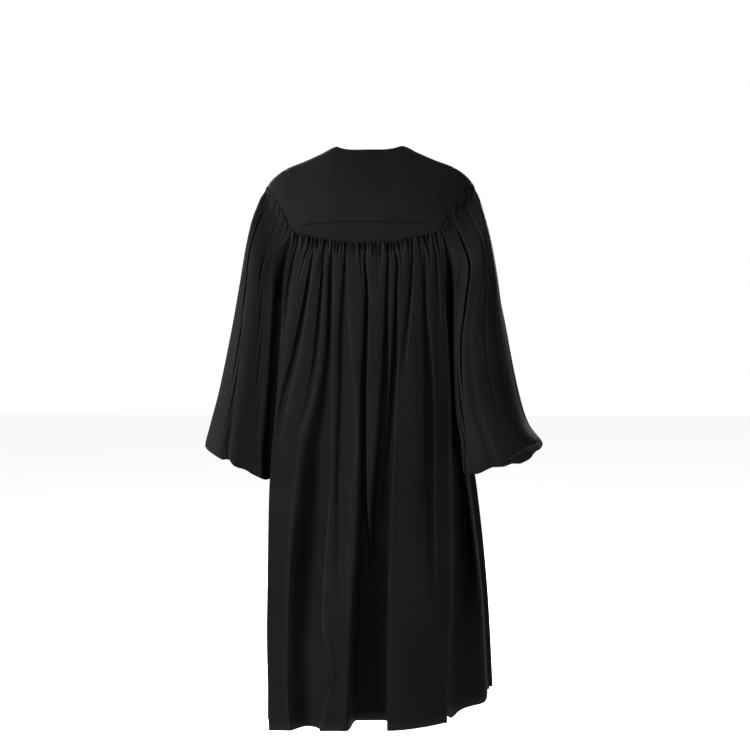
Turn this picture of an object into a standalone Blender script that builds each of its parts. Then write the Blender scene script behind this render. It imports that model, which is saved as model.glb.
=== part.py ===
"""Clergy robe, as worn: a gathered gown on a fitted yoke, with full sleeves drawn in at the wrists.

Metres, +Z up. The robe's back faces +Y, its front faces -Y, and the wearer's left is +X.
The origin is the middle of the neck opening, level with the neck ends of the shoulder seams.
Each panel is a grid of points on the cloth's outer side, closed by a second grid one cloth's
thickness inside it. Rows run down the cloth, and columns run round the figure.
"""

import math
from bisect import bisect_right

import bpy
from mathutils import Vector

# Cloth and seams
CLOTH = 0.0016            # gown and sleeve cloth
YOKE_CLOTH = 0.0022       # yoke and cuffs, cut double
SEAM_GAP = 0.0005         # between the edges of two panels sewn together
RIM_SLOPE = 0.0013        # a sewn edge is turned under, so its inner side lies this much further back
LAP = 0.030               # how far the wearer's right front laps over the left
LAP_STEP = 0.0038         # the under front lies this far inside the upper one
LAP_BLEND = 0.030         # width over which the under front steps in

# The general figure that the yoke is fitted to
SHOULDER_ROUND = 0.18     # fall over which the shoulder rounds off into the back
BACK_DEPTH = 0.125
FRONT_DEPTH = 0.118
FIGURE_HALF_WIDTH = 0.262
FIGURE_POWER = 3.2        # how square the figure's plan is

# Height of the shoulder's ridge, by distance from the middle
SHOULDER_RIDGE = (
    # x      z
    (0.000, 0.010),
    (0.076, 0.000),
    (0.110, -0.016),
    (0.151, -0.034),
    (0.178, -0.044),
    (0.199, -0.053),
    (0.223, -0.071),
    (0.238, -0.090),
    (0.247, -0.110),
)

# Outer edge of the yoke, where gown and sleeves are gathered on. The turn is the angle over the
# shoulder in radians, 0 on the ridge, and the same to the back and to the front.
YOKE_EDGE = (
    # turn   x
    (0.00, 0.238),
    (0.44, 0.232),
    (0.80, 0.214),
    (1.04, 0.198),
    (1.22, 0.184),
    (1.38, 0.174),
    (1.50, 0.160),
    (1.60, 0.134),
    (1.73, 0.100),
    (1.85, 0.060),
    (1.904, 0.000),
)
JUNCTION_TURN = 1.44      # where yoke, gown and sleeve meet
BAND_TURN = 1.545         # where the back band's ends meet the side pieces

# Seams of the yoke
NECK_HALF_WIDTH = 0.076
NECK_BACK_DROP = 0.0148
NECK_FRONT_DROP = 0.125   # bottom of the plain V neck
RIDGE_SEAM_HALF = 0.193   # half width of the centre back piece along the shoulder
BACK_SEAM_HALF = 0.135    # and along its lower seam
BACK_SEAM_Z = -0.184
BACK_SEAM_SAG = 0.005
SHOULDER_SEAM_ROWS = 1    # the shoulder seam lies this many of the side piece's rows before the ridge
SHOULDER_SEAM_START = 0.030

# Heights at which the tables below give the gown's plan
LEVELS = (-1.285, -1.055, -0.797, -0.579, -0.359, -0.237)

# Depth of the back's outermost cloth: a row for each level, a column for each distance
BACK_X = (-0.186, -0.130, -0.070, 0.060, 0.200)
BACK_Y = (
    (0.130, 0.184, 0.217, 0.227, 0.228),
    (0.126, 0.172, 0.198, 0.206, 0.206),
    (0.116, 0.157, 0.176, 0.182, 0.180),
    (0.106, 0.138, 0.158, 0.160, 0.152),
    (0.101, 0.122, 0.132, 0.133, 0.118),
    (0.095, 0.113, 0.124, 0.125, 0.096),
)

# The same for the fronts
FRONT_X = (-0.220, -0.110, 0.000, 0.110, 0.220)
FRONT_Y = (
    (-0.228, -0.240, -0.238, -0.230, -0.170),
    (-0.195, -0.212, -0.212, -0.206, -0.150),
    (-0.155, -0.180, -0.182, -0.176, -0.130),
    (-0.115, -0.152, -0.156, -0.150, -0.110),
    (-0.080, -0.124, -0.132, -0.124, -0.080),
    (-0.066, -0.110, -0.120, -0.110, -0.066),
)

# Lines down the sides of the gown: x at each level, from the hem up, then y at each level
SIDE_LINES = {
    "left_seam": (
        (0.236, 0.228, 0.216, 0.204, 0.196, 0.195),
        (-0.040, -0.035, -0.025, -0.015, -0.005, 0.000),
    ),
    "left_back": (
        (0.222, 0.222, 0.215, 0.205, 0.198, 0.193),
        (0.110, 0.095, 0.080, 0.070, 0.065, 0.060),
    ),
    "left_ridge": (
        (0.202, 0.210, 0.209, 0.196, 0.181, 0.176),
        (0.222, 0.202, 0.176, 0.146, 0.112, 0.104),
    ),
    "right_valley": (
        (-0.190, -0.188, -0.188, -0.184, -0.179, -0.173),
        (-0.004, 0.010, 0.038, 0.084, 0.096, 0.106),
    ),
    "right_ridge": (
        (-0.264, -0.252, -0.224, -0.190, -0.188, -0.190),
        (-0.105, -0.078, -0.030, 0.030, 0.050, 0.060),
    ),
    "right_seam": (
        (-0.272, -0.260, -0.233, -0.204, -0.195, -0.195),
        (-0.150, -0.118, -0.068, -0.030, -0.010, 0.000),
    ),
    "left_corner": (
        (0.240, 0.232, 0.215, 0.200, 0.190, 0.188),
        (-0.150, -0.132, -0.115, -0.092, -0.070, -0.055),
    ),
    "right_corner": (
        (-0.284, -0.272, -0.246, -0.212, -0.192, -0.188),
        (-0.198, -0.170, -0.132, -0.098, -0.070, -0.055),
    ),
}

# Valleys between the back's folds: x at each level, from the hem up, and how deep each one is
BACK_FOLDS = (
    # hem     ...     ...     ...     ...     top    depth
    (0.173, 0.184, 0.185, 0.179, 0.164, 0.158, 0.6),
    (0.161, 0.171, 0.174, 0.172, 0.133, 0.130, 0.8),
    (0.139, 0.147, 0.137, 0.111, 0.096, 0.098, 1.0),
    (0.105, 0.111, 0.100, 0.085, 0.076, 0.073, 0.9),
    (0.062, 0.063, 0.061, 0.056, 0.050, 0.048, 0.7),
    (0.040, 0.039, 0.030, 0.028, 0.023, 0.025, 0.4),
    (0.019, 0.016, 0.002, 0.001, -0.001, 0.002, 1.0),
    (0.001, -0.002, -0.009, -0.014, -0.019, -0.022, 1.0),
    (-0.018, -0.021, -0.028, -0.040, -0.047, -0.046, 1.0),
    (-0.039, -0.043, -0.050, -0.062, -0.067, -0.070, 0.9),
    (-0.074, -0.077, -0.081, -0.086, -0.098, -0.096, 0.4),
    (-0.128, -0.131, -0.133, -0.139, -0.131, -0.124, 0.7),
    (-0.158, -0.159, -0.161, -0.165, -0.158, -0.150, 0.4),
)

# Valleys of one front, by distance from the middle; both fronts have them
FRONT_FOLDS = (
    (0.222, 0.214, 0.200, 0.186, 0.172, 0.165, 0.6),
    (0.190, 0.184, 0.172, 0.160, 0.146, 0.138, 0.9),
    (0.146, 0.142, 0.136, 0.128, 0.118, 0.112, 0.7),
    (0.112, 0.108, 0.102, 0.098, 0.092, 0.088, 1.0),
    (0.066, 0.066, 0.066, 0.066, 0.066, 0.064, 0.8),
)
FRONT_EDGE_FLAT = 0.034   # the fronts are plain from here to their edges

# Depth of a valley of weight 1, by height
FOLD_DEPTH = (
    (-1.285, 0.002),
    (-1.055, 0.003),
    (-0.797, 0.008),
    (-0.579, 0.015),
    (-0.359, 0.013),
    (-0.260, 0.006),
    (-0.215, 0.001),
)

# Broad troughs between the big folds at the hem: centre, half width and width of each side, then
# the depth at each level, from the hem up
TROUGHS = (
    # x      half   side
    (0.140, 0.032, 0.024, (0.040, 0.032, 0.022, 0.008, 0.000, 0.000)),
    (-0.002, 0.046, 0.026, (0.084, 0.074, 0.048, 0.018, 0.000, 0.000)),
)
FRONT_TROUGHS = (
    (0.168, 0.042, 0.030, (0.036, 0.028, 0.016, 0.006, 0.000, 0.000)),
    (0.066, 0.034, 0.024, (0.042, 0.032, 0.018, 0.006, 0.000, 0.000)),
)

# Height of the hem round the robe, by the plan angle from the middle of the back
HEM = (
    # degrees  z
    (-180, -1.288),
    (-126, -1.276),
    (-110, -1.284),
    (-90, -1.288),
    (0, -1.290),
    (42, -1.291),
    (90, -1.288),
    (180, -1.288),
)

# The gown's armhole edge from the underarm up to the junction: plan and height, at the back
ARMHOLE = (
    # x       y       z
    (0.195, 0.000, -0.330),
    (0.192, 0.052, -0.305),
    (0.185, 0.086, -0.255),
)
ARMHOLE_CLEAR = 0.0034    # the sleeve's edge lies this far outside the gown's armhole edge
ARMHOLE_CLEAR_SIDE = (0.0026, 0.0020)   # the same at the back and the front, outwards and backwards
JUNCTION_CLEAR = 0.0030   # and this far at the junction, fading out along the yoke
JUNCTION_FADE = 6         # over this many columns
CAP_CLEAR = 0.0003        # the rest of the cap's edge lies this far outside the yoke's edge

# Gathers: ridge height at the seam, and how far down they fade
GATHER = 0.0016
GATHER_AT_SEAM = 0.10     # share of that height at the stitching itself
GATHER_RISE = 0.010
GATHER_FADE = 0.060

# Rows of each kind of panel, as shares of the way down
GOWN_ROWS = (0.0, 0.010, 0.028, 0.060, 0.120, 0.210, 0.330, 0.480, 0.650, 0.830, 1.0)
SLEEVE_ROWS = (0.0, 0.020, 0.055, 0.120, 0.230, 0.380, 0.560, 0.780, 1.0)
BLEND_DOWN = 0.060        # fall over which the gown leaves the yoke's edge for its own plan

# Columns from each plan point to the next, for the back from the left and for a front from its side
BACK_SPANS = [2, 3] + [3] * (2 * len(BACK_FOLDS) + 1) + [3, 3]
FRONT_SPANS = [3, 3] + [4] * (2 * len(FRONT_FOLDS) - 1) + [2, 1, 2]
ARM_SPANS = 2             # of these, the spans along an armhole
FLAT_SPANS = 3            # and the plain ones along a front's edge

# Sleeves
SLEEVE_COLUMNS = 54
CAP_COLUMNS = 40          # of which these are gathered onto the yoke
BLEND_OUTER = 0.06        # share of the sleeve over which the armhole's shape gives way, outside
BLEND_SIDE = 0.24         # and at its front and back
LEFT_BOTTOM = (
    # reach    z, where a reach of -1 is the sleeve's inner side and 1 its outer tip
    (-1.00, -0.762),
    (-0.30, -0.737),
    (0.00, -0.726),
    (0.50, -0.708),
    (1.00, -0.689),
)
RIGHT_BOTTOM = (
    (-1.00, -0.742),
    (-0.30, -0.741),
    (0.00, -0.734),
    (0.35, -0.719),
    (1.00, -0.678),
)
PUFF_HEIGHT = 0.034       # from the sleeve's bottom up to its widest, less at its outer tip
TIP_HEIGHT = 0.012
TUCK_ROWS = (
    # share of the way to the cuff, rise
    (0.06, 0.000),
    (0.50, 0.006),
    (1.00, 0.022),
)

# Plan of each sleeve by height: outer and inner reach, back and front reach
LEFT_SLEEVE = (
    # z       outer  inner  back   front
    (-0.700, 0.382, 0.226, 0.120, -0.160),
    (-0.640, 0.366, 0.221, 0.122, -0.158),
    (-0.560, 0.344, 0.215, 0.122, -0.148),
    (-0.450, 0.320, 0.209, 0.120, -0.134),
    (-0.340, 0.299, 0.204, 0.118, -0.118),
    (-0.230, 0.280, 0.200, 0.114, -0.106),
    (-0.150, 0.260, 0.198, 0.104, -0.098),
    (-0.100, 0.244, 0.196, 0.090, -0.090),
)
RIGHT_SLEEVE = (
    (-0.700, 0.406, 0.208, 0.168, -0.122),
    (-0.676, 0.396, 0.206, 0.166, -0.121),
    (-0.646, 0.372, 0.202, 0.163, -0.120),
    (-0.615, 0.356, 0.199, 0.159, -0.119),
    (-0.560, 0.342, 0.196, 0.152, -0.116),
    (-0.450, 0.320, 0.194, 0.142, -0.108),
    (-0.340, 0.299, 0.194, 0.130, -0.104),
    (-0.230, 0.280, 0.197, 0.118, -0.100),
    (-0.150, 0.260, 0.198, 0.106, -0.096),
    (-0.100, 0.244, 0.196, 0.092, -0.090),
)
LEFT_TWIST = 0.0          # degrees by which the sleeve's back leans in behind the gown
RIGHT_TWIST = 17.0
TWIST_TOP = -0.25         # the twist starts here and is whole this much lower
TWIST_FALL = 0.24

# Soft folds down a sleeve: angle from its outer side, depth at the cap, elbow and wrist, half width
SLEEVE_FOLDS = (
    # degrees cap    elbow   wrist  half
    (28, 0.005, 0.006, 0.004, 15),
    (72, 0.007, 0.010, 0.005, 17),
    (112, 0.006, 0.008, 0.006, 16),
    (152, 0.004, 0.006, 0.006, 14),
    (212, 0.003, 0.006, 0.006, 15),
    (250, 0.006, 0.009, 0.005, 17),
    (292, 0.007, 0.009, 0.006, 16),
    (330, 0.005, 0.006, 0.004, 14),
)

# Cuffs: narrow bands inside the sleeves' full ends
CUFF_TOP = -0.698
CUFF_HEIGHT = 0.027
CUFF_HALF = (0.034, 0.040)
LEFT_CUFF = (0.268, -0.022)
RIGHT_CUFF = (-0.290, 0.026)
CUFF_COLUMNS = 24

# Rows and columns of the yoke's pieces
YOKE_STEPS = 20           # rows of a side piece between its two junctions
FRONT_COLUMNS = 9         # columns of a side piece that end at the shoulder seam
STRIP_COLUMNS = 3         # columns of a side piece that go over the shoulder
BACK_COLUMNS = 26
BACK_ROWS = 7
BAND_COLUMNS = 30
BAND_ROWS = 2

BLACK_CLOTH = (0.012, 0.012, 0.013, 1.0)
CLOTH_ROUGHNESS = 0.62
SHARP_ANGLE = 50          # edges sharper than this many degrees are drawn hard


def curve(knots, at):
    """Smooth curve through rising (position, value) knots, which never swings past a knot."""
    places = [knot[0] for knot in knots]
    values = [knot[1] for knot in knots]
    if at <= places[0]:
        return values[0]
    if at >= places[-1]:
        return values[-1]
    slopes = [(values[i + 1] - values[i]) / (places[i + 1] - places[i]) for i in range(len(knots) - 1)]

    def tangent(i):
        if i == 0:
            return slopes[0]
        if i == len(slopes):
            return slopes[-1]
        before, after = slopes[i - 1], slopes[i]
        if before * after <= 0:
            return 0.0
        return 2 * before * after / (before + after)

    i = bisect_right(places, at) - 1
    width = places[i + 1] - places[i]
    t = (at - places[i]) / width
    rest = 1 - t
    return (
        values[i] * rest * rest * (1 + 2 * t)
        + values[i + 1] * t * t * (3 - 2 * t)
        + width * t * rest * (tangent(i) * rest - tangent(i + 1) * t)
    )


def mix(a, b, share):
    """Straight mix of two numbers or two vectors."""
    return a + (b - a) * share


def ease(share):
    """0 to 1 with a soft start and end."""
    share = min(1.0, max(0.0, share))
    return share * share * (3 - 2 * share)


def bump(distance, half_width):
    """1 in the middle, falling softly to 0 at the half width."""
    if abs(distance) >= half_width:
        return 0.0
    return 0.5 + 0.5 * math.cos(math.pi * distance / half_width)


def through(points, at):
    """Point on the smooth curve through a list of vectors, at a whole or part index."""
    last = len(points) - 1
    i = min(int(at), last - 1)
    t = at - i
    before = points[i - 1] if i > 0 else points[i] * 2 - points[i + 1]
    after = points[i + 2] if i + 2 <= last else points[i + 1] * 2 - points[i]
    start, end = points[i], points[i + 1]
    return 0.5 * (
        2 * start
        + (end - before) * t
        + (2 * before - 5 * start + 4 * end - after) * t * t
        + (3 * start - before - 3 * end + after) * t * t * t
    )


# The figure


def ridge(x):
    """Height of the shoulder's ridge."""
    return curve(SHOULDER_RIDGE, abs(x))


def figure_depth(x, turn):
    """How far the figure reaches back or forward at x."""
    full = BACK_DEPTH if turn > 0 else FRONT_DEPTH
    return full * math.sqrt(max(0.0, 1 - (abs(x) / FIGURE_HALF_WIDTH) ** FIGURE_POWER))


def figure(x, turn):
    """Point of the figure at x. The turn is 0 on the ridge, rising to the back, falling to the front."""
    angle = min(abs(turn), math.pi / 2)
    fall = SHOULDER_ROUND * (1 - math.cos(angle) + abs(turn) - angle)
    return Vector((x, math.copysign(figure_depth(x, turn) * math.sin(angle), turn), ridge(x) - fall))


def turn_at(x, z):
    """Turn over the shoulder, taken as positive, at which the figure is at height z."""
    fall = max(0.0, (ridge(x) - z) / SHOULDER_ROUND)
    if fall < 1:
        return math.acos(1 - fall)
    return math.pi / 2 + fall - 1


def edge_x(turn):
    """Half width of the yoke's outer edge at a turn."""
    return curve(YOKE_EDGE, abs(turn))


def edge_turn(x):
    """Turn of the yoke's outer edge at x, taken as positive."""
    return curve(tuple((knot[1], knot[0]) for knot in reversed(YOKE_EDGE)), abs(x))


# Walls

ALL_EDGES = ("top", "bottom", "start", "end")


def seam_moves(rows, edges, notch):
    """Which points of a grid lie on sewn edges, with the step to the neighbour further in.

    A notch (row, column) leaves out the cells below that row and before that column.
    """
    low, last = len(rows) - 1, len(rows[0]) - 1
    cut_row, cut_column = notch or (low, 0)
    moves = []
    if "top" in edges:
        moves += [(0, j, 1, 0) for j in range(last + 1)]
    if "bottom" in edges:
        moves += [(low, j, -1, 0) for j in range(cut_column, last + 1)]
    if "start" in edges:
        moves += [(i, 0, 0, 1) for i in range(cut_row + 1)]
    if "end" in edges:
        moves += [(i, last, 0, -1) for i in range(low + 1)]
    if notch:
        moves += [(cut_row, j, -1, 0) for j in range(cut_column + 1)]
        moves += [(i, cut_column, 0, 1) for i in range(cut_row, low + 1)]
    return moves


def drawn_back(rows, moves, amount, closed):
    """The grid with its sewn edges drawn back into the cloth, square to each edge."""
    shifted = [list(row) for row in rows]
    low, count = len(rows) - 1, len(rows[0])
    for i, j, down, along in moves:
        inward = rows[i + down][j + along] - rows[i][j]
        if along:
            edge = rows[min(i + 1, low)][j] - rows[max(i - 1, 0)][j]
        elif closed:
            edge = rows[i][(j + 1) % count] - rows[i][j - 1]
        else:
            edge = rows[i][min(j + 1, count - 1)] - rows[i][max(j - 1, 0)]
        inward -= edge * (inward.dot(edge) / edge.length_squared)
        shifted[i][j] = shifted[i][j] + inward.normalized() * amount
    return shifted


def outward(rows, i, j, closed):
    """Direction out of the cloth at a grid point, from its neighbours."""
    last_row = len(rows) - 1
    count = len(rows[0])
    down = rows[min(i + 1, last_row)][j] - rows[max(i - 1, 0)][j]
    if closed:
        along = rows[i][(j + 1) % count] - rows[i][(j - 1) % count]
    else:
        along = rows[i][min(j + 1, count - 1)] - rows[i][max(j - 1, 0)]
    return down.cross(along).normalized()


def wall(name, rows, thickness, edges=(), closed=False, side=1, notch=None):
    """Closes a grid of outer points into a solid wall and makes it an object.

    edges names the sewn edges. side is 1 where columns run anticlockwise seen from above, and -1
    where they run clockwise. closed joins the last column to the first, which gives a tube.
    """
    height, width = len(rows), len(rows[0])
    moves = seam_moves(rows, edges, notch)
    inside = [
        [rows[i][j] - outward(rows, i, j, closed) * thickness * side for j in range(width)]
        for i in range(height)
    ]
    outer = drawn_back(rows, moves, SEAM_GAP / 2, closed)
    inner = drawn_back(inside, moves, SEAM_GAP / 2 + RIM_SLOPE, closed)
    points = [point for row in outer + inner for point in row]
    cut_row, cut_column = notch or (height, 0)
    skin = []
    for i in range(height - 1):
        for j in range(width if closed else width - 1):
            if i >= cut_row and j < cut_column:
                continue
            k = (j + 1) % width
            a, b = i * width + j, i * width + k
            c, d = a + width, b + width
            skin += [(a, c, d), (a, d, b)] if side == 1 else [(a, d, c), (a, b, d)]
    shift = height * width
    faces = skin + [(shift + c, shift + b, shift + a) for a, b, c in skin]
    sides = {(t[n], t[(n + 1) % 3]) for t in skin for n in range(3)}
    for a, b in sorted(sides):
        if (b, a) not in sides:
            faces += [(b, a, shift + a), (b, shift + a, shift + b)]
    used = sorted({corner for face in faces for corner in face})
    place = {corner: index for index, corner in enumerate(used)}
    mesh = bpy.data.meshes.new(name)
    mesh.from_pydata(
        [tuple(points[corner]) for corner in used],
        [],
        [tuple(place[corner] for corner in face) for face in faces],
    )
    mesh.validate()
    mesh.shade_smooth()
    mesh.set_sharp_from_angle(angle=math.radians(SHARP_ANGLE))
    mesh.materials.append(cloth_material(name))
    piece = bpy.data.objects.new(name, mesh)
    bpy.context.scene.collection.objects.link(piece)
    return piece


def cloth_material(name):
    """Matt black cloth."""
    material = bpy.data.materials.new(name + "_cloth")
    material.use_nodes = True
    shader = material.node_tree.nodes["Principled BSDF"]
    shader.inputs["Base Color"].default_value = BLACK_CLOTH
    shader.inputs["Roughness"].default_value = CLOTH_ROUGHNESS
    shader.inputs["Metallic"].default_value = 0.0
    return material


# Yoke


def back_seam_turn(x):
    """Turn of the seam across the back, under the centre back piece."""
    return turn_at(x, BACK_SEAM_Z - BACK_SEAM_SAG * (x / BACK_SEAM_HALF) ** 2)


def shoulder_seam_turn():
    """Turn of the shoulder seam, a little in front of the ridge."""
    return -JUNCTION_TURN * 2 * SHOULDER_SEAM_ROWS / YOKE_STEPS


def slant_x(turn):
    """Half width of the centre back piece at a turn: its side seams lean in going down."""
    full_fall = 1 - math.cos(back_seam_turn(BACK_SEAM_HALF))
    fall = 1 - math.cos(max(0.0, turn))
    return mix(RIDGE_SEAM_HALF, BACK_SEAM_HALF, fall / full_fall)


def back_top_turn(x):
    """Turn of the centre back piece's upper edge: the neckline, then the shoulder seams."""
    out = abs(x) - NECK_HALF_WIDTH
    if out < 0:
        neck_z = -NECK_BACK_DROP * (1 - (abs(x) / NECK_HALF_WIDTH) ** 4)
        return turn_at(x, neck_z)
    return shoulder_seam_turn() * ease(out / SHOULDER_SEAM_START)


def make_yoke_back():
    """The smooth centre back piece, wider at the shoulders than at its lower seam."""
    low_turn = back_seam_turn(BACK_SEAM_HALF)
    rows = []
    for i in range(BACK_ROWS + 1):
        t = i / BACK_ROWS
        half = slant_x(mix(shoulder_seam_turn(), low_turn, t))
        row = []
        for j in range(BACK_COLUMNS + 1):
            u = 1 - 2 * j / BACK_COLUMNS
            turn = mix(back_top_turn(RIDGE_SEAM_HALF * u), back_seam_turn(BACK_SEAM_HALF * u), t)
            row.append(figure(half * u, turn))
        rows.append(row)
    wall("yoke_back", rows, YOKE_CLOTH, ALL_EDGES)


def make_yoke_band():
    """The band across the back, between the centre piece's lower seam and the gathers."""
    rows = []
    low_half = edge_x(BAND_TURN)
    for i in range(BAND_ROWS + 1):
        t = i / BAND_ROWS
        row = []
        for j in range(BAND_COLUMNS + 1):
            u = 1 - 2 * j / BAND_COLUMNS
            x = mix(BACK_SEAM_HALF, low_half, t) * u
            turn = mix(back_seam_turn(BACK_SEAM_HALF * u), edge_turn(low_half * u), t)
            row.append(figure(x, turn))
        rows.append(row)
    wall("yoke_back_band", rows, YOKE_CLOTH, ALL_EDGES)


def neck_edge_x(turn):
    """The side piece's inner edge on the front: the V neck, and below it the lapped front edge."""
    full_fall = 1 - math.cos(turn_at(0, -NECK_FRONT_DROP))
    return mix(NECK_HALF_WIDTH, -LAP / 2, min(1.0, (1 - math.cos(turn)) / full_fall))


def lap_step(x, side):
    """How far the under front, the wearer's left, lies inside the upper one near the middle."""
    if side < 0:
        return 0.0
    return LAP_STEP * ease((LAP_BLEND + LAP / 2 - x) / LAP_BLEND)


def side_front_place(t, share):
    """(x, turn) of the front part of a side piece, from the gathers up and from the middle out."""
    seam = shoulder_seam_turn()
    low_x = mix(-LAP / 2, edge_x(JUNCTION_TURN), share)
    inner = neck_edge_x(mix(-edge_turn(0), seam, t))
    outer = edge_x(mix(-JUNCTION_TURN, seam, t))
    return mix(inner, outer, share), mix(-edge_turn(low_x), seam, t)


def make_yoke_side(name, side):
    """A side piece: front yoke and shoulder strip in one, down to the band. side is 1 for the left."""
    seam = shoulder_seam_turn()
    front_rows = YOKE_STEPS // 2 - SHOULDER_SEAM_ROWS
    neck_x = neck_edge_x(seam)
    seam_share = (RIDGE_SEAM_HALF - neck_x) / (edge_x(seam) - neck_x)
    shares = [seam_share * j / FRONT_COLUMNS for j in range(FRONT_COLUMNS)]
    shares += [mix(seam_share, 1, j / STRIP_COLUMNS) for j in range(STRIP_COLUMNS + 1)]
    places = []
    for i in range(front_rows + 1):
        places.append([side_front_place(i / front_rows, share) for share in shares])
    low_turn = back_seam_turn(BACK_SEAM_HALF)
    back_steps = range(front_rows + 1, YOKE_STEPS + 1)
    turns = [mix(-JUNCTION_TURN, JUNCTION_TURN, i / YOKE_STEPS) for i in back_steps]
    turns.append(BAND_TURN)
    for turn in turns:
        inner_turn = mix(seam, low_turn, (turn - seam) / (BAND_TURN - seam))
        row = []
        for share in shares:
            across = max(0.0, (share - seam_share) / (1 - seam_share))
            row.append((mix(slant_x(inner_turn), edge_x(turn), across), mix(inner_turn, turn, across)))
        places.append(row)
    rows = []
    for row in places:
        points = [figure(x, turn) for x, turn in row]
        for point, (x, turn) in zip(points, row):
            if turn < 0:
                point.y += lap_step(x, side)
        rows.append([Vector((point.x * side, point.y, point.z)) for point in points])
    wall(name, rows, YOKE_CLOTH, ALL_EDGES, side=-side, notch=(front_rows, FRONT_COLUMNS))


# Gown


def level_value(values, z):
    """A table's row read at a height."""
    return curve(tuple(zip(LEVELS, values)), z)


def side_line(name, z):
    """Plan of a line down the side of the gown."""
    x_row, y_row = SIDE_LINES[name]
    return Vector((level_value(x_row, z), level_value(y_row, z)))


def surface_y(distances, table, x, z):
    """Depth of the outermost cloth at x and a height."""
    across = tuple((d, level_value([row[i] for row in table], z)) for i, d in enumerate(distances))
    return curve(across, x)


def trough_depth(troughs, x, z):
    """Depth of the broad troughs at x and a height: each has a flat floor and two soft sides."""
    return sum(
        ease((half - abs(x - centre)) / side) * level_value(depths, z)
        for centre, half, side, depths in troughs
    )


def back_keys(z):
    """Plan points round the back at a height: side lines, then each valley and ridge in turn."""
    valleys = [(level_value(fold[:-1], z), fold[-1]) for fold in BACK_FOLDS]
    keys = [side_line("left_seam", z), side_line("left_back", z), side_line("left_ridge", z)]
    deep = curve(FOLD_DEPTH, z)
    for i, (x, weight) in enumerate(valleys):
        if i > 0:
            middle = (x + valleys[i - 1][0]) / 2
            y = surface_y(BACK_X, BACK_Y, middle, z) - trough_depth(TROUGHS, middle, z)
            keys.append(Vector((middle, y)))
        y = surface_y(BACK_X, BACK_Y, x, z) - trough_depth(TROUGHS, x, z) - deep * weight
        keys.append(Vector((x, y)))
    middle = (valleys[-1][0] + side_line("right_valley", z).x) / 2
    keys.append(Vector((middle, surface_y(BACK_X, BACK_Y, middle, z))))
    keys += [side_line("right_valley", z), side_line("right_ridge", z), side_line("right_seam", z)]
    return keys


def front_keys(z, side):
    """Plan points round one front at a height, from its side seam to its lapped edge."""
    which = "left" if side > 0 else "right"
    keys = [side_line(which + "_seam", z), side_line(which + "_corner", z)]
    valleys = [(level_value(fold[:-1], z), fold[-1]) for fold in FRONT_FOLDS]
    deep = curve(FOLD_DEPTH, z)

    def front_y(x):
        return surface_y(FRONT_X, FRONT_Y, x * side, z) + trough_depth(FRONT_TROUGHS, x, z)

    for i, (x, weight) in enumerate(valleys):
        keys.append(Vector((x * side, front_y(x) + deep * weight)))
        inner = valleys[i + 1][0] if i + 1 < len(valleys) else FRONT_EDGE_FLAT
        middle = (x + inner) / 2
        keys.append(Vector((middle * side, front_y(middle))))
    for x in (LAP, LAP / 3, -LAP / 2):
        keys.append(Vector((x * side, front_y(x) + lap_step(x, side))))
    return keys


def armhole_edge(side, back, share):
    """The gown's armhole edge from the underarm, share 0, to the junction, share 1."""
    points = [Vector((x, y * back, z)) for x, y, z in ARMHOLE]
    points.append(figure(edge_x(JUNCTION_TURN), JUNCTION_TURN * back))
    points.insert(0, Vector((points[0].x, -points[1].y, points[1].z)))
    point = through(points, 1 + share * (len(points) - 2))
    return Vector((point.x * side, point.y, point.z))


def gown_top(spans, side_order, back):
    """The top edge of a panel, one point for each column.

    side_order lists, from first column to last, the side of each armhole that the panel has.
    """
    total = sum(spans)
    arm = sum(spans[:ARM_SPANS])
    points = []
    x_join = edge_x(JUNCTION_TURN)
    first = side_order[0]
    for j in range(total + 1):
        if j <= arm:
            points.append(armhole_edge(first, back, j / arm))
        elif len(side_order) > 1 and total - j <= arm:
            points.append(armhole_edge(side_order[1], back, (total - j) / arm))
        else:
            if len(side_order) > 1:
                x = mix(x_join, -x_join, (j - arm) / (total - 2 * arm)) * first
            else:
                x = mix(x_join, -LAP / 2, (j - arm) / (total - arm)) * first
            points.append(figure(x, edge_turn(x) * back))
    return points


def hem_height(x, y):
    """Height of the hem below a plan point."""
    return curve(HEM, math.degrees(math.atan2(x, y)))


def gown_rows(keys_at, spans, top):
    """Grid of a gown panel from its top edge to the hem."""
    places = [0.0]
    for index, count in enumerate(spans):
        places += [index + (i + 1) / count for i in range(count)]
    hem_keys = keys_at(LEVELS[0])
    columns = []
    for j, (place, start) in enumerate(zip(places, top)):
        low = through(hem_keys, place)
        hem_z = hem_height(low.x, low.y)
        column = []
        for share in GOWN_ROWS:
            z = mix(start.z, hem_z, share)
            plan = through(keys_at(z), place)
            leave = ease((start.z - z) / BLEND_DOWN)
            flat = Vector((start.x, start.y)).lerp(plan, leave)
            column.append(Vector((flat.x, flat.y, z)))
        columns.append(column)
    return [[column[i] for column in columns] for i in range(len(GOWN_ROWS))]


def gathered(rows, first, last, closed=False):
    """Raises every second column near the top, between two columns, into fine gathers."""
    lifted = [list(row) for row in rows]
    for i, row in enumerate(rows):
        for j in range(first, last + 1):
            fall = (rows[0][j] - row[j]).length
            rise = mix(GATHER_AT_SEAM, 1, ease(fall / GATHER_RISE))
            height = GATHER * rise * (1 - ease(fall / GATHER_FADE))
            raised = height if (j - first) % 2 else -height
            lifted[i][j] = row[j] + outward(rows, i, j, closed) * raised
    return lifted


def make_gown_back():
    """The whole back, gathered onto the yoke and open at both armholes."""
    top = gown_top(BACK_SPANS, (1, -1), 1)
    rows = gown_rows(back_keys, BACK_SPANS, top)
    arm = sum(BACK_SPANS[:ARM_SPANS])
    rows = gathered(rows, arm + 1, len(top) - arm - 2)
    wall("body_back", rows, CLOTH, ("top", "start", "end"))


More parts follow.
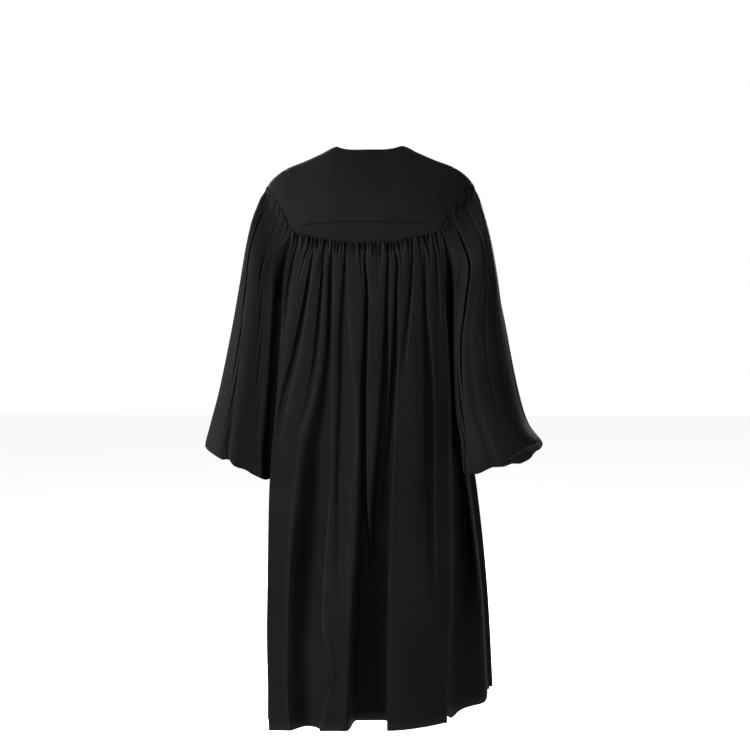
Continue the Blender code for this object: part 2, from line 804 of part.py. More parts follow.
def make_gown_front(name, side):
    """One front, gathered onto its side of the yoke and lapped in the middle."""
    top = gown_top(FRONT_SPANS, (side,), -1)
    for point in top:
        point.y += lap_step(point.x, side)
    rows = gown_rows(lambda z: front_keys(z, side), FRONT_SPANS, top)
    arm = sum(FRONT_SPANS[:ARM_SPANS])
    flat_columns = sum(FRONT_SPANS[-FLAT_SPANS:])
    if side > 0:
        rows = [row[::-1] for row in rows]
        rows = gathered(rows, flat_columns, len(top) - arm - 2)
        wall(name, rows, CLOTH, ("top", "end"))
    else:
        rows = gathered(rows, arm + 1, len(top) - flat_columns - 1)
        wall(name, rows, CLOTH, ("top", "start"))


# Sleeves


def sleeve_start(j):
    """The left sleeve's edge at a column, from the front junction over the shoulder and back under."""
    if j <= CAP_COLUMNS:
        turn = mix(-JUNCTION_TURN, JUNCTION_TURN, j / CAP_COLUMNS)
        near = max(0.0, 1 - min(j, CAP_COLUMNS - j) / JUNCTION_FADE)
        return figure(edge_x(turn), turn) + Vector((mix(CAP_CLEAR, JUNCTION_CLEAR, near), 0.0, 0.0))
    under = SLEEVE_COLUMNS - CAP_COLUMNS
    down = (j - CAP_COLUMNS) / (under / 2)
    if down <= 1:
        point = armhole_edge(1, 1, 1 - down)
    else:
        point = armhole_edge(1, -1, down - 1)
    rise = abs(1 - down)
    near = ease(3 * (1 - rise))
    turned = ease(2 * rise)
    across = mix(JUNCTION_CLEAR, mix(ARMHOLE_CLEAR, ARMHOLE_CLEAR_SIDE[0], turned), near)
    along = ARMHOLE_CLEAR_SIDE[1] * turned * near
    return point + Vector((across, math.copysign(along, 1 - down), 0.0))


def sleeve_plan(table, twist, angle, z):
    """Plan of the sleeve's section at a height, at an angle from its outer side."""
    read = [curve(tuple((row[0], row[k]) for row in table), z) for k in (1, 2, 3, 4)]
    outer, inner, back, front = read
    lean = math.radians(twist) * ease((TWIST_TOP - z) / TWIST_FALL)
    half_depth = (back - front) / 2 / math.cos(lean)
    half_reach = (outer - inner) / 2
    half_width = math.sqrt(half_reach ** 2 - (half_depth * math.sin(lean)) ** 2) / math.cos(lean)
    across = half_width * math.cos(angle)
    along = half_depth * math.sin(angle)
    x = (outer + inner) / 2 + across * math.cos(lean) - along * math.sin(lean)
    y = (back + front) / 2 + along * math.cos(lean) + across * math.sin(lean)
    return Vector((x, y))


def sleeve_fold(angle, down):
    """How far the soft folds draw the sleeve in, at an angle and a share of the way down."""
    degrees = math.degrees(angle) % 360
    total = 0.0
    for place, cap, elbow, wrist, half in SLEEVE_FOLDS:
        apart = (degrees - place + 180) % 360 - 180
        total += bump(apart, half) * curve(((0.0, 0.0), (0.10, cap), (0.5, elbow), (1.0, wrist)), down)
    return total


def cuff_plan(cuff, angle):
    """Plan of the cuff's outer face, as for a left cuff."""
    return Vector((abs(cuff[0]) + CUFF_HALF[0] * math.cos(angle), cuff[1] + CUFF_HALF[1] * math.sin(angle)))


def sleeve_rows(table, twist, bottom, cuff):
    """Grid of a left sleeve, from the armhole down to its widest, then turned under to the cuff."""
    count = SLEEVE_COLUMNS
    angles = [2 * math.pi * (j - CAP_COLUMNS / 2) / count for j in range(count)]
    starts = [sleeve_start(j) for j in range(count)]
    rows = []
    for share in SLEEVE_ROWS:
        row = []
        for angle, start in zip(angles, starts):
            puff = mix(PUFF_HEIGHT, TIP_HEIGHT, max(0.0, math.cos(angle)))
            z = mix(start.z, curve(bottom, math.cos(angle)) + puff, share)
            plan = sleeve_plan(table, twist, angle, z)
            centre = (sleeve_plan(table, twist, 0, z) + sleeve_plan(table, twist, math.pi, z)) / 2
            plan += (centre - plan).normalized() * sleeve_fold(angle, share)
            blend = mix(BLEND_OUTER, BLEND_SIDE, math.sin(angle) ** 2)
            flat = Vector((start.x, start.y)).lerp(plan, ease(share / blend))
            row.append(Vector((flat.x, flat.y, z)))
        rows.append(row)
    widest = rows[-1]
    for share, rise in TUCK_ROWS:
        row = []
        for angle, point in zip(angles, widest):
            flat = Vector((point.x, point.y)).lerp(cuff_plan(cuff, angle), share)
            z = mix(curve(bottom, math.cos(angle)) + rise, CUFF_TOP, ease(share))
            row.append(Vector((flat.x, flat.y, z)))
        rows.append(row)
    return rows


def make_sleeve(name, side, table, twist, bottom, cuff):
    """A sleeve, one tube from the armhole to the cuff."""
    rows = sleeve_rows(table, twist, bottom, cuff)
    rows = gathered(rows, 1, CAP_COLUMNS - 1, closed=True)
    if side < 0:
        rows = [[Vector((-p.x, p.y, p.z)) for p in reversed(row)] for row in rows]
    wall(name, rows, CLOTH, ("top", "bottom"), closed=True)


def make_cuff(name, side, cuff):
    """A narrow band that the sleeve's end is gathered into."""
    rows = []
    for fall in (0.0, CUFF_HEIGHT):
        z = CUFF_TOP - SEAM_GAP - fall
        row = []
        for j in range(CUFF_COLUMNS):
            plan = cuff_plan(cuff, 2 * math.pi * j / CUFF_COLUMNS * side)
            row.append(Vector((plan.x * side, plan.y, z)))
        rows.append(row)
    wall(name, rows, YOKE_CLOTH, closed=True)


def clear_scene():
    """Removes every object there is."""
    for thing in list(bpy.data.objects):
        bpy.data.objects.remove(thing, do_unlink=True)


def main():
    clear_scene()
    make_yoke_back()
    make_yoke_band()
    make_yoke_side("yoke_side_left", 1)
    make_yoke_side("yoke_side_right", -1)
    make_gown_back()
    make_gown_front("body_front_left", 1)
    make_gown_front("body_front_right", -1)
    make_sleeve("sleeve_left", 1, LEFT_SLEEVE, LEFT_TWIST, LEFT_BOTTOM, LEFT_CUFF)
    make_sleeve("sleeve_right", -1, RIGHT_SLEEVE, RIGHT_TWIST, RIGHT_BOTTOM, RIGHT_CUFF)
    make_cuff("cuff_left", 1, LEFT_CUFF)
    make_cuff("cuff_right", -1, RIGHT_CUFF)


main()
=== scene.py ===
import math
from bisect import bisect_right

import bpy
import numpy as np
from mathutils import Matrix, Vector


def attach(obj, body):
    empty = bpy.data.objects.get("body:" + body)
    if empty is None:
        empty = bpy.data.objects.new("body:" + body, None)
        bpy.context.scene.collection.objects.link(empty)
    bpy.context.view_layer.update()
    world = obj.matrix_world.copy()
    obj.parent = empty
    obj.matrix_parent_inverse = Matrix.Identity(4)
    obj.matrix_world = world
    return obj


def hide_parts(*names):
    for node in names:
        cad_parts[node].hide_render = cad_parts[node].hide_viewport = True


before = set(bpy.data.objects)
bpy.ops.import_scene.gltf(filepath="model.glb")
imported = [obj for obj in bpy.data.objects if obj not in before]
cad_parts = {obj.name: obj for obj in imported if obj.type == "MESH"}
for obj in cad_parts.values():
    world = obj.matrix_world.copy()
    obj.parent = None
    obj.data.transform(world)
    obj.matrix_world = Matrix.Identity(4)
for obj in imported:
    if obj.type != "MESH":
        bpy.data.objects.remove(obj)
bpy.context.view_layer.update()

# A black robe shown as worn and seen from behind. Every panel is a thin shell near its solid. The
# solids' own tables give the yoke, the seams, the outlines and the fullness, and the pleats of the
# back, the gathers, rolled seams and stitches are added here. Metres, +Z up, the back towards +Y.

CAMERA_TURN = 4.0         # degrees round the robe from straight behind
CAMERA_AWAY = 3.4
CAMERA_Z = -0.5244
CAMERA_SIDE = 0.0115
PHOTO_SIZE = 750
FOCAL_PIXELS = 1478

CLOTH = 0.0011            # thickness of the gown's and the sleeves' cloth
YOKE_CLOTH = 0.0018       # thickness of the yoke and the cuffs, which are cut double
LAP = 0.030               # how far the solids' fronts lap; the shells' lap further, see FRONT_SPANS
LAP_STEP = 0.0038         # the under front lies this far inside the upper one
LAP_BLEND = 0.030         # width over which the under front steps in

# The general figure that the yoke is fitted to
SHOULDER_ROUND = 0.18     # fall over which the shoulder rounds off into the back
BACK_DEPTH = 0.125
FRONT_DEPTH = 0.118
FIGURE_HALF_WIDTH = 0.262
FIGURE_POWER = 3.2        # how square the figure's plan is

# Height of the shoulder's ridge, by distance from the middle
SHOULDER_RIDGE = (
    # x      z
    (0.000, 0.010),
    (0.076, 0.000),
    (0.110, -0.016),
    (0.151, -0.034),
    (0.178, -0.044),
    (0.199, -0.053),
    (0.223, -0.071),
    (0.238, -0.090),
    (0.247, -0.110),
)

# Outer edge of the yoke, where gown and sleeves are gathered on. The turn is the angle over the
# shoulder in radians, 0 on the ridge, and the same to the back and to the front.
YOKE_EDGE = (
    # turn   x
    (0.00, 0.238),
    (0.44, 0.232),
    (0.80, 0.214),
    (1.04, 0.198),
    (1.22, 0.184),
    (1.38, 0.174),
    (1.50, 0.160),
    (1.60, 0.134),
    (1.73, 0.100),
    (1.85, 0.060),
    (1.904, 0.000),
)
JUNCTION_TURN = 1.44      # where yoke, gown and sleeve meet
BAND_TURN = 1.545         # where the back band's ends meet the side pieces

# Seams of the yoke
NECK_HALF_WIDTH = 0.076
NECK_BACK_DROP = 0.0148
NECK_FRONT_DROP = 0.125   # bottom of the plain V neck
RIDGE_SEAM_HALF = 0.193   # half width of the centre back piece along the shoulder
BACK_SEAM_HALF = 0.135    # and along its lower seam
BACK_SEAM_Z = -0.184
BACK_SEAM_SAG = 0.005
SHOULDER_SEAM_TURN = -JUNCTION_TURN / 10   # the shoulder seam lies a little in front of the ridge
SHOULDER_SEAM_START = 0.030                # and swings there over this distance from the neck

# Heights at which the tables below give the gown's plan
LEVELS = (-1.285, -1.055, -0.797, -0.579, -0.359, -0.237)

# Depth of the back's outermost cloth: a row for each level, a column for each distance
BACK_X = (-0.186, -0.130, -0.070, 0.060, 0.200)
BACK_Y = (
    (0.130, 0.184, 0.217, 0.227, 0.228),
    (0.126, 0.172, 0.198, 0.206, 0.206),
    (0.116, 0.157, 0.176, 0.182, 0.180),
    (0.106, 0.138, 0.158, 0.160, 0.152),
    (0.101, 0.122, 0.132, 0.133, 0.118),
    (0.095, 0.113, 0.124, 0.125, 0.096),
)

# The same for the fronts
FRONT_X = (-0.220, -0.110, 0.000, 0.110, 0.220)
FRONT_Y = (
    (-0.228, -0.240, -0.238, -0.230, -0.170),
    (-0.195, -0.212, -0.212, -0.206, -0.150),
    (-0.155, -0.180, -0.182, -0.176, -0.130),
    (-0.115, -0.152, -0.156, -0.150, -0.110),
    (-0.080, -0.124, -0.132, -0.124, -0.080),
    (-0.066, -0.110, -0.120, -0.110, -0.066),
)

# Lines down the sides of the gown: x at each level, from the hem up, then y at each level
SIDE_LINES = {
    "left_seam": (
        (0.236, 0.228, 0.216, 0.204, 0.196, 0.195),
        (-0.040, -0.035, -0.025, -0.015, -0.005, 0.000),
    ),
    "left_back": (
        (0.222, 0.222, 0.215, 0.205, 0.198, 0.193),
        (0.110, 0.095, 0.080, 0.070, 0.065, 0.060),
    ),
    "left_ridge": (
        (0.202, 0.210, 0.209, 0.196, 0.181, 0.176),
        (0.222, 0.202, 0.176, 0.146, 0.112, 0.104),
    ),
    "right_valley": (
        (-0.190, -0.188, -0.188, -0.184, -0.179, -0.173),
        (-0.004, 0.010, 0.038, 0.084, 0.096, 0.106),
    ),
    "right_ridge": (
        (-0.264, -0.252, -0.224, -0.190, -0.188, -0.190),
        (-0.105, -0.078, -0.030, 0.030, 0.050, 0.060),
    ),
    "right_seam": (
        (-0.272, -0.260, -0.233, -0.204, -0.195, -0.195),
        (-0.150, -0.118, -0.068, -0.030, -0.010, 0.000),
    ),
    "left_corner": (
        (0.240, 0.232, 0.215, 0.200, 0.190, 0.188),
        (-0.150, -0.132, -0.115, -0.092, -0.070, -0.055),
    ),
    "right_corner": (
        (-0.284, -0.272, -0.246, -0.212, -0.192, -0.188),
        (-0.198, -0.170, -0.132, -0.098, -0.070, -0.055),
    ),
}

# Valleys between a front's folds, by distance from the middle: x at each level, from the hem up,
# and how deep each one is. Both fronts have them.
FRONT_FOLDS = (
    (0.222, 0.214, 0.200, 0.186, 0.172, 0.165, 0.6),
    (0.190, 0.184, 0.172, 0.160, 0.146, 0.138, 0.9),
    (0.146, 0.142, 0.136, 0.128, 0.118, 0.112, 0.7),
    (0.112, 0.108, 0.102, 0.098, 0.092, 0.088, 1.0),
    (0.066, 0.066, 0.066, 0.066, 0.066, 0.064, 0.8),
)
FRONT_EDGE_FLAT = 0.034   # the fronts are plain from here to their edges

# Broad troughs between a front's folds at the hem: centre, half width and width of each side,
# then the depth at each level, from the hem up
FRONT_TROUGHS = (
    # x      half   side
    (0.168, 0.042, 0.030, (0.036, 0.028, 0.016, 0.006, 0.000, 0.000)),
    (0.066, 0.034, 0.024, (0.042, 0.032, 0.018, 0.006, 0.000, 0.000)),
)

# Height of the hem round the robe, by the plan angle from the middle of the back
HEM = (
    # degrees  z
    (-180, -1.288),
    (-126, -1.276),
    (-110, -1.284),
    (-90, -1.288),
    (0, -1.290),
    (42, -1.291),
    (90, -1.288),
    (180, -1.288),
)

# The gown's armhole edge from the underarm up to the junction: plan and height, at the back
ARMHOLE = (
    # x       y       z
    (0.195, 0.000, -0.330),
    (0.192, 0.052, -0.305),
    (0.185, 0.086, -0.255),
)

# Share of the way down over which a sleeve takes up its own plan
BLEND_OUTER = 0.06        # on its outer and inner sides
BLEND_SIDE = 0.24         # at its back and front

# Height of each sleeve's lower edge
LEFT_BOTTOM = (
    # reach    z, where a reach of -1 is the sleeve's inner side and 1 its outer tip
    (-1.00, -0.762),
    (-0.30, -0.737),
    (0.00, -0.726),
    (0.50, -0.708),
    (1.00, -0.689),
)
RIGHT_BOTTOM = (
    (-1.00, -0.742),
    (-0.30, -0.741),
    (0.00, -0.734),
    (0.35, -0.719),
    (1.00, -0.678),
)
PUFF_HEIGHT = 0.034       # from the sleeve's bottom up to its widest, less at its outer tip
TIP_HEIGHT = 0.012
PUFF_SHARE = 0.7          # share of these two heights that the sleeves take
TURNED_END = (
    # share of the way in to the cuff, rise above the lower edge
    (0.06, 0.0),
    (0.25, 0.0015),
    (0.50, 0.006),
    (0.78, 0.015),
    (1.00, 0.022),
)

# Plan of each sleeve by height: outer and inner reach, back and front reach
LEFT_SLEEVE = (
    # z       outer  inner  back   front
    (-0.700, 0.382, 0.226, 0.120, -0.160),
    (-0.640, 0.366, 0.221, 0.122, -0.158),
    (-0.560, 0.344, 0.215, 0.122, -0.148),
    (-0.450, 0.320, 0.209, 0.120, -0.134),
    (-0.340, 0.299, 0.204, 0.118, -0.118),
    (-0.230, 0.280, 0.200, 0.114, -0.106),
    (-0.150, 0.260, 0.198, 0.104, -0.098),
    (-0.100, 0.244, 0.196, 0.090, -0.090),
)
RIGHT_SLEEVE = (
    (-0.700, 0.406, 0.208, 0.168, -0.122),
    (-0.676, 0.396, 0.206, 0.166, -0.121),
    (-0.646, 0.372, 0.202, 0.163, -0.120),
    (-0.615, 0.356, 0.199, 0.159, -0.119),
    (-0.560, 0.342, 0.196, 0.152, -0.116),
    (-0.450, 0.320, 0.194, 0.142, -0.108),
    (-0.340, 0.299, 0.194, 0.130, -0.104),
    (-0.230, 0.280, 0.197, 0.118, -0.100),
    (-0.150, 0.260, 0.198, 0.106, -0.096),
    (-0.100, 0.244, 0.196, 0.092, -0.090),
)
LEFT_TWIST = 0.0          # degrees by which the sleeve's back leans in behind the gown
RIGHT_TWIST = 17.0
TWIST_TOP = -0.25         # the twist starts here and is whole this much lower
TWIST_FALL = 0.24

# Cuffs: narrow bands inside the sleeves' full ends
CUFF_TOP = -0.698
CUFF_HEIGHT = 0.027
CUFF_HALF = (0.034, 0.040)
LEFT_CUFF = (0.268, -0.022)
RIGHT_CUFF = (-0.290, 0.026)
CUFF_ROUND = 0.24         # its length round the wrist, for its gathers


def curve(knots, at):
    """Smooth curve through rising (position, value) knots, which never swings past a knot."""
    places = [knot[0] for knot in knots]
    values = [knot[1] for knot in knots]
    if at <= places[0]:
        return values[0]
    if at >= places[-1]:
        return values[-1]
    slopes = [(values[i + 1] - values[i]) / (places[i + 1] - places[i]) for i in range(len(knots) - 1)]

    def tangent(i):
        if i == 0:
            return slopes[0]
        if i == len(slopes):
            return slopes[-1]
        before, after = slopes[i - 1], slopes[i]
        if before * after <= 0:
            return 0.0
        return 2 * before * after / (before + after)

    i = bisect_right(places, at) - 1
    width = places[i + 1] - places[i]
    t = (at - places[i]) / width
    rest = 1 - t
    return (
        values[i] * rest * rest * (1 + 2 * t)
        + values[i + 1] * t * t * (3 - 2 * t)
        + width * t * rest * (tangent(i) * rest - tangent(i + 1) * t)
    )


def mix(a, b, share):
    """Straight mix of two numbers or two vectors."""
    return a + (b - a) * share


def ease(share):
    """0 to 1 with a soft start and end."""
    share = min(1.0, max(0.0, share))
    return share * share * (3 - 2 * share)


def bump(distance, half_width):
    """1 in the middle, falling softly to 0 at the half width."""
    if abs(distance) >= half_width:
        return 0.0
    return 0.5 + 0.5 * math.cos(math.pi * distance / half_width)


def through(points, at):
    """Point on the smooth curve through a list of vectors, at a whole or part index."""
    last = len(points) - 1
    i = min(int(at), last - 1)
    t = at - i
    before = points[i - 1] if i > 0 else points[i] * 2 - points[i + 1]
    after = points[i + 2] if i + 2 <= last else points[i + 1] * 2 - points[i]
    start, end = points[i], points[i + 1]
    return 0.5 * (
        2 * start
        + (end - before) * t
        + (2 * before - 5 * start + 4 * end - after) * t * t
        + (3 * start - before - 3 * end + after) * t * t * t
    )


# The figure


def ridge(x):
    """Height of the shoulder's ridge."""
    return curve(SHOULDER_RIDGE, abs(x))


def figure_depth(x, turn):
    """How far the figure reaches back or forward at x."""
    full = BACK_DEPTH if turn > 0 else FRONT_DEPTH
    return full * math.sqrt(max(0.0, 1 - (abs(x) / FIGURE_HALF_WIDTH) ** FIGURE_POWER))


def figure(x, turn):
    """Point of the figure at x. The turn is 0 on the ridge, rising to the back, falling to the front."""
    angle = min(abs(turn), math.pi / 2)
    fall = SHOULDER_ROUND * (1 - math.cos(angle) + abs(turn) - angle)
    return Vector((x, math.copysign(figure_depth(x, turn) * math.sin(angle), turn), ridge(x) - fall))


def turn_at(x, z):
    """Turn over the shoulder, taken as positive, at which the figure is at height z."""
    fall = max(0.0, (ridge(x) - z) / SHOULDER_ROUND)
    if fall < 1:
        return math.acos(1 - fall)
    return math.pi / 2 + fall - 1


def edge_x(turn):
    """Half width of the yoke's outer edge at a turn."""
    return curve(YOKE_EDGE, abs(turn))


def edge_turn(x):
    """Turn of the yoke's outer edge at x, taken as positive."""
    return curve(tuple((knot[1], knot[0]) for knot in reversed(YOKE_EDGE)), abs(x))


def back_seam_turn(x):
    """Turn of the seam across the back, under the centre back piece."""
    return turn_at(x, BACK_SEAM_Z - BACK_SEAM_SAG * (x / BACK_SEAM_HALF) ** 2)


def slant_x(turn):
    """Half width of the centre back piece at a turn: its side seams lean in going down."""
    full_fall = 1 - math.cos(back_seam_turn(BACK_SEAM_HALF))
    fall = 1 - math.cos(max(0.0, turn))
    return mix(RIDGE_SEAM_HALF, BACK_SEAM_HALF, fall / full_fall)


def back_top_turn(x):
    """Turn of the centre back piece's upper edge: the neckline, then the shoulder seams."""
    out = abs(x) - NECK_HALF_WIDTH
    if out < 0:
        neck_z = -NECK_BACK_DROP * (1 - (abs(x) / NECK_HALF_WIDTH) ** 4)
        return turn_at(x, neck_z)
    return SHOULDER_SEAM_TURN * ease(out / SHOULDER_SEAM_START)


def neck_edge_x(turn):
    """The side piece's inner edge on the front: the V neck, and below it the lapped front edge."""
    full_fall = 1 - math.cos(turn_at(0, -NECK_FRONT_DROP))
    return mix(NECK_HALF_WIDTH, -LAP / 2, min(1.0, (1 - math.cos(turn)) / full_fall))


def lap_step(x, side):
    """How far the under front, the wearer's left, lies inside the upper one near the middle."""
    if side < 0:
        return 0.0
    return LAP_STEP * ease((LAP_BLEND + LAP / 2 - x) / LAP_BLEND)


def side_front_place(t, share):
    """(x, turn) of the front part of a side piece, from the gathers up and from the middle out."""
    seam = SHOULDER_SEAM_TURN
    low_x = mix(-LAP / 2, edge_x(JUNCTION_TURN), share)
    inner = neck_edge_x(mix(-edge_turn(0), seam, t))
    outer = edge_x(mix(-JUNCTION_TURN, seam, t))
    return mix(inner, outer, share), mix(-edge_turn(low_x), seam, t)


def level_value(values, z):
    """A table's row read at a height."""
    return curve(tuple(zip(LEVELS, values)), z)


def side_line(name, z):
    """Plan of a line down the side of the gown."""
    x_row, y_row = SIDE_LINES[name]
    return Vector((level_value(x_row, z), level_value(y_row, z)))


def surface_y(distances, table, x, z):
    """Depth of the outermost cloth at x and a height."""
    across = tuple((d, level_value([row[i] for row in table], z)) for i, d in enumerate(distances))
    return curve(across, x)


def trough_depth(troughs, x, z):
    """Depth of the broad troughs at x and a height: each has a flat floor and two soft sides."""
    return sum(
        ease((half - abs(x - centre)) / side) * level_value(depths, z)
        for centre, half, side, depths in troughs
    )


def armhole_edge(side, back, share):
    """The gown's armhole edge from the underarm, share 0, to the junction, share 1."""
    points = [Vector((x, y * back, z)) for x, y, z in ARMHOLE]
    points.append(figure(edge_x(JUNCTION_TURN), JUNCTION_TURN * back))
    points.insert(0, Vector((points[0].x, -points[1].y, points[1].z)))
    point = through(points, 1 + share * (len(points) - 2))
    return Vector((point.x * side, point.y, point.z))


def hem_height(x, y):
    """Height of the hem below a plan point."""
    return curve(HEM, math.degrees(math.atan2(x, y)))


def sleeve_plan(table, twist, angle, z):
    """Plan of the sleeve's section at a height, at an angle from its outer side."""
    read = [curve(tuple((row[0], row[k]) for row in table), z) for k in (1, 2, 3, 4)]
    outer, inner, back, front = read
    lean = math.radians(twist) * ease((TWIST_TOP - z) / TWIST_FALL)
    half_depth = (back - front) / 2 / math.cos(lean)
    half_reach = (outer - inner) / 2
    half_width = math.sqrt(half_reach ** 2 - (half_depth * math.sin(lean)) ** 2) / math.cos(lean)
    across = half_width * math.cos(angle)
    along = half_depth * math.sin(angle)
    x = (outer + inner) / 2 + across * math.cos(lean) - along * math.sin(lean)
    y = (back + front) / 2 + along * math.cos(lean) + across * math.sin(lean)
    return Vector((x, y))


def cuff_plan(cuff, angle):
    """Plan of the cuff's outer face, as for a left cuff."""
    return Vector((abs(cuff[0]) + CUFF_HALF[0] * math.cos(angle), cuff[1] + CUFF_HALF[1] * math.sin(angle)))


# Fine grids


def grid(rows):
    """Array of a list of rows of vectors."""
    return np.array([[tuple(point) for point in row] for row in rows])


def refine(points, at):
    """Rows of a grid at whole or part indices, on smooth curves down its columns."""
    last = len(points) - 1
    i = np.minimum(at.astype(int), last - 1)
    t = (at - i)[:, None, None]
    ends = np.concatenate([2 * points[:1] - points[1:2], points, 2 * points[-1:] - points[-2:-1]])
    before, start, end, after = ends[i], ends[i + 1], ends[i + 2], ends[i + 3]
    return 0.5 * (
        2 * start
        + (end - before) * t
        + (2 * before - 5 * start + 4 * end - after) * t ** 2
        + (3 * start - before - 3 * end + after) * t ** 3
    )


def soft(share):
    """ease for arrays."""
    share = np.clip(share, 0, 1)
    return share * share * (3 - 2 * share)


def normals(points, side=1, closed=False):
    """Unit normals out of the cloth, for a grid whose rows run down."""
    down = np.gradient(points, axis=0)
    if closed:
        along = np.roll(points, -1, axis=1) - np.roll(points, 1, axis=1)
    else:
        along = np.gradient(points, axis=1)
    out = np.cross(down, along) * side
    return out / np.maximum(np.linalg.norm(out, axis=2, keepdims=True), 1e-12)


def lengths(points, axis):
    """Distance along the cloth from the first row or column."""
    steps = np.linalg.norm(np.diff(points, axis=axis), axis=2)
    start = np.zeros_like(steps[:1] if axis == 0 else steps[:, :1])
    return np.concatenate([start, np.cumsum(steps, axis=axis)], axis=axis)


def rolled(points, out, edges, depth, width):
    """Turns the sewn edges of a panel in a little, which leaves a soft groove at each seam."""
    nearest = edge_distance(points, edges)
    return points - out * (depth * (1 - np.clip(nearest / width, 0, 1)) ** 2)[:, :, None]


def edge_distance(points, edges):
    """Distance of each grid point from the nearest of the named edges."""
    across, down = lengths(points, 1), lengths(points, 0)
    away = {
        "start": across,
        "end": across[:, -1:] - across,
        "top": down,
        "bottom": down[-1:] - down,
    }
    return np.minimum.reduce([away[edge] for edge in edges])


# Sharp crests of the folds are painted paler as a painted highlight for the light they catch. At free hems
# the same paler colour is real wear.
CREST_FROM = 0.18         # bend of the cloth, in radians, from which a crest is painted paler, a painted highlight
CREST_TO = 0.95           # and at which the painted highlight is whole
CREST_WIDTH = 0.006       # broader crests get less of the painted highlight
WEAR_REACH = 0.004        # how far in from a free edge the wear goes


def put(name, data):
    """A new object in the scene."""
    thing = bpy.data.objects.new(name, data)
    bpy.context.scene.collection.objects.link(thing)
    return thing


def add_piece(name, points, faces, material):
    """A piece of the robe, as a smooth mesh that rides on its one body."""
    mesh = bpy.data.meshes.new(name)
    mesh.from_pydata(points, [], faces)
    mesh.shade_smooth()
    mesh.materials.append(material)
    piece = put(name, mesh)
    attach(piece, "root")
    return piece


def shell(name, points, thickness, material, side, closed, notch, worn):
    """Closes a grid of outer points into a thin shell, as one piece.

    A notch (row, column) leaves out the cells below that row and before that column. worn says
    that the bottom edge is free, where the cloth is rubbed a little paler.
    """
    rows, columns = points.shape[:2]
    out = normals(points, side, closed)
    inner = points - out * thickness
    index = np.arange(rows * columns).reshape(rows, columns)
    a = index[:-1] if closed else index[:-1, :-1]
    c = index[1:] if closed else index[1:, :-1]
    b, d = (np.roll(a, -1, 1), np.roll(c, -1, 1)) if closed else (index[:-1, 1:], index[1:, 1:])
    corners = np.stack([a, c, d, b] if side > 0 else [a, b, d, c], axis=2)
    keep = np.ones(corners.shape[:2], bool)
    if notch:
        keep[notch[0]:, :notch[1]] = False
    skin = corners[keep]
    shift = rows * columns
    tails, heads = skin.ravel(), np.roll(skin, -1, axis=1).ravel()
    rim = ~np.isin(tails * shift + heads, heads * shift + tails)
    sides = np.stack([heads[rim], tails[rim], tails[rim] + shift, heads[rim] + shift], axis=1)
    faces = np.concatenate([skin, skin[:, ::-1] + shift, sides])
    everything = np.concatenate([points.reshape(-1, 3), inner.reshape(-1, 3)])
    used, faces = np.unique(faces, return_inverse=True)
    faces = faces.reshape(-1, 4)
    piece = add_piece(name, everything[used].tolist(), faces.tolist(), material)
    lay_weave(piece.data, points, used, shift)
    # Paler where the hem is rubbed, which is real wear, and on the folds' sharp crests, where the paler
    # colour is a painted highlight
    wear_and_crest_highlight = worn * np.exp(-edge_distance(points, ("bottom",)) / WEAR_REACH)
    wear_and_crest_highlight = np.maximum(wear_and_crest_highlight, crests(points, out, closed)).ravel()[used % shift].astype(np.float32)
    piece.data.attributes.new("wear_and_crest_highlight", "FLOAT", "POINT").data.foreach_set("value", wear_and_crest_highlight)
    return piece


def crests(points, out, closed):
    """How sharply the cloth bends outwards across its folds, from 0 to 1."""
    before, after = np.roll(points, 2, axis=1), np.roll(points, -2, axis=1)
    if not closed:
        before[:, :2], after[:, -2:] = points[:, :2], points[:, -2:]
    chord = np.maximum(np.linalg.norm(after - before, axis=2), 1e-4)
    stand = ((points - (before + after) / 2) * out).sum(axis=2)
    keen = np.minimum(CREST_WIDTH / chord, 1.0) ** 2
    return keen * soft((4 * stand / chord - CREST_FROM) / (CREST_TO - CREST_FROM))


def lay_weave(mesh, points, used, shift):
    """Coordinates along and across the threads, in metres, for the material."""
    across = np.repeat(lengths(points, 1).mean(axis=0)[None], len(points), axis=0)
    down = lengths(points, 0)
    flat = np.stack([across.ravel(), down.ravel()], axis=1)[used % shift]
    corner = np.empty(len(mesh.loops), dtype=np.int32)
    mesh.loops.foreach_get("vertex_index", corner)
    mesh.uv_layers.new(name="threads").data.foreach_set("uv", flat[corner].ravel().astype(np.float32))


GATHER_FADE = 0.020       # half of a gather's depth fades over about this much of the fall


def troughs(place, fall, rows):
    """Depth of gathers: each a row of place, drift, half width, depth and length down the cloth."""
    total = np.zeros(np.broadcast(place, fall).shape)
    for centre, drift, half, depth, length in rows:
        apart = (place - centre - drift * fall) / half
        fade = 0.5 * np.exp(-(fall / GATHER_FADE) ** 2) + 0.5 * (1 - soft(fall / length))
        total += depth * fade * np.exp(-apart ** 2)
    return total


def gather_rows(rng, start, end, pitch, depth, length, slim):
    """Uneven gathers along a seam, from start to end, for troughs(). slim is half width by pitch."""
    rows = []
    place = start + pitch * rng.uniform(0.3, 0.8)
    while place < end:
        strong = rng.random() ** 1.4
        rows.append((
            place,
            rng.uniform(-0.10, 0.10),
            pitch * slim * rng.uniform(0.7, 1.4),
            mix(depth[0], depth[1], strong),
            mix(length[0], length[1], strong * rng.random() ** 1.5),
        ))
        place += pitch * rng.uniform(0.45, 1.55)
    return rows


# Yoke

SEAM_CLOSE = 0.0009       # the band reaches this much further than its solid, to the side pieces
YOKE_PROUD = 0.0010       # the centre back piece stands this far out
BAND_GATHERS = (0.0080, (0.0003, 0.0009), (0.008, 0.020), 0.22)   # as BACK_GATHERS below


def spread(rows, columns, place):
    """Grid of place(t, u): t runs from 0 at the top to 1, and u from 1 at the wearer's left to -1."""
    return grid([
        [place(i / (rows - 1), 1 - 2 * j / (columns - 1)) for j in range(columns)]
        for i in range(rows)
    ])


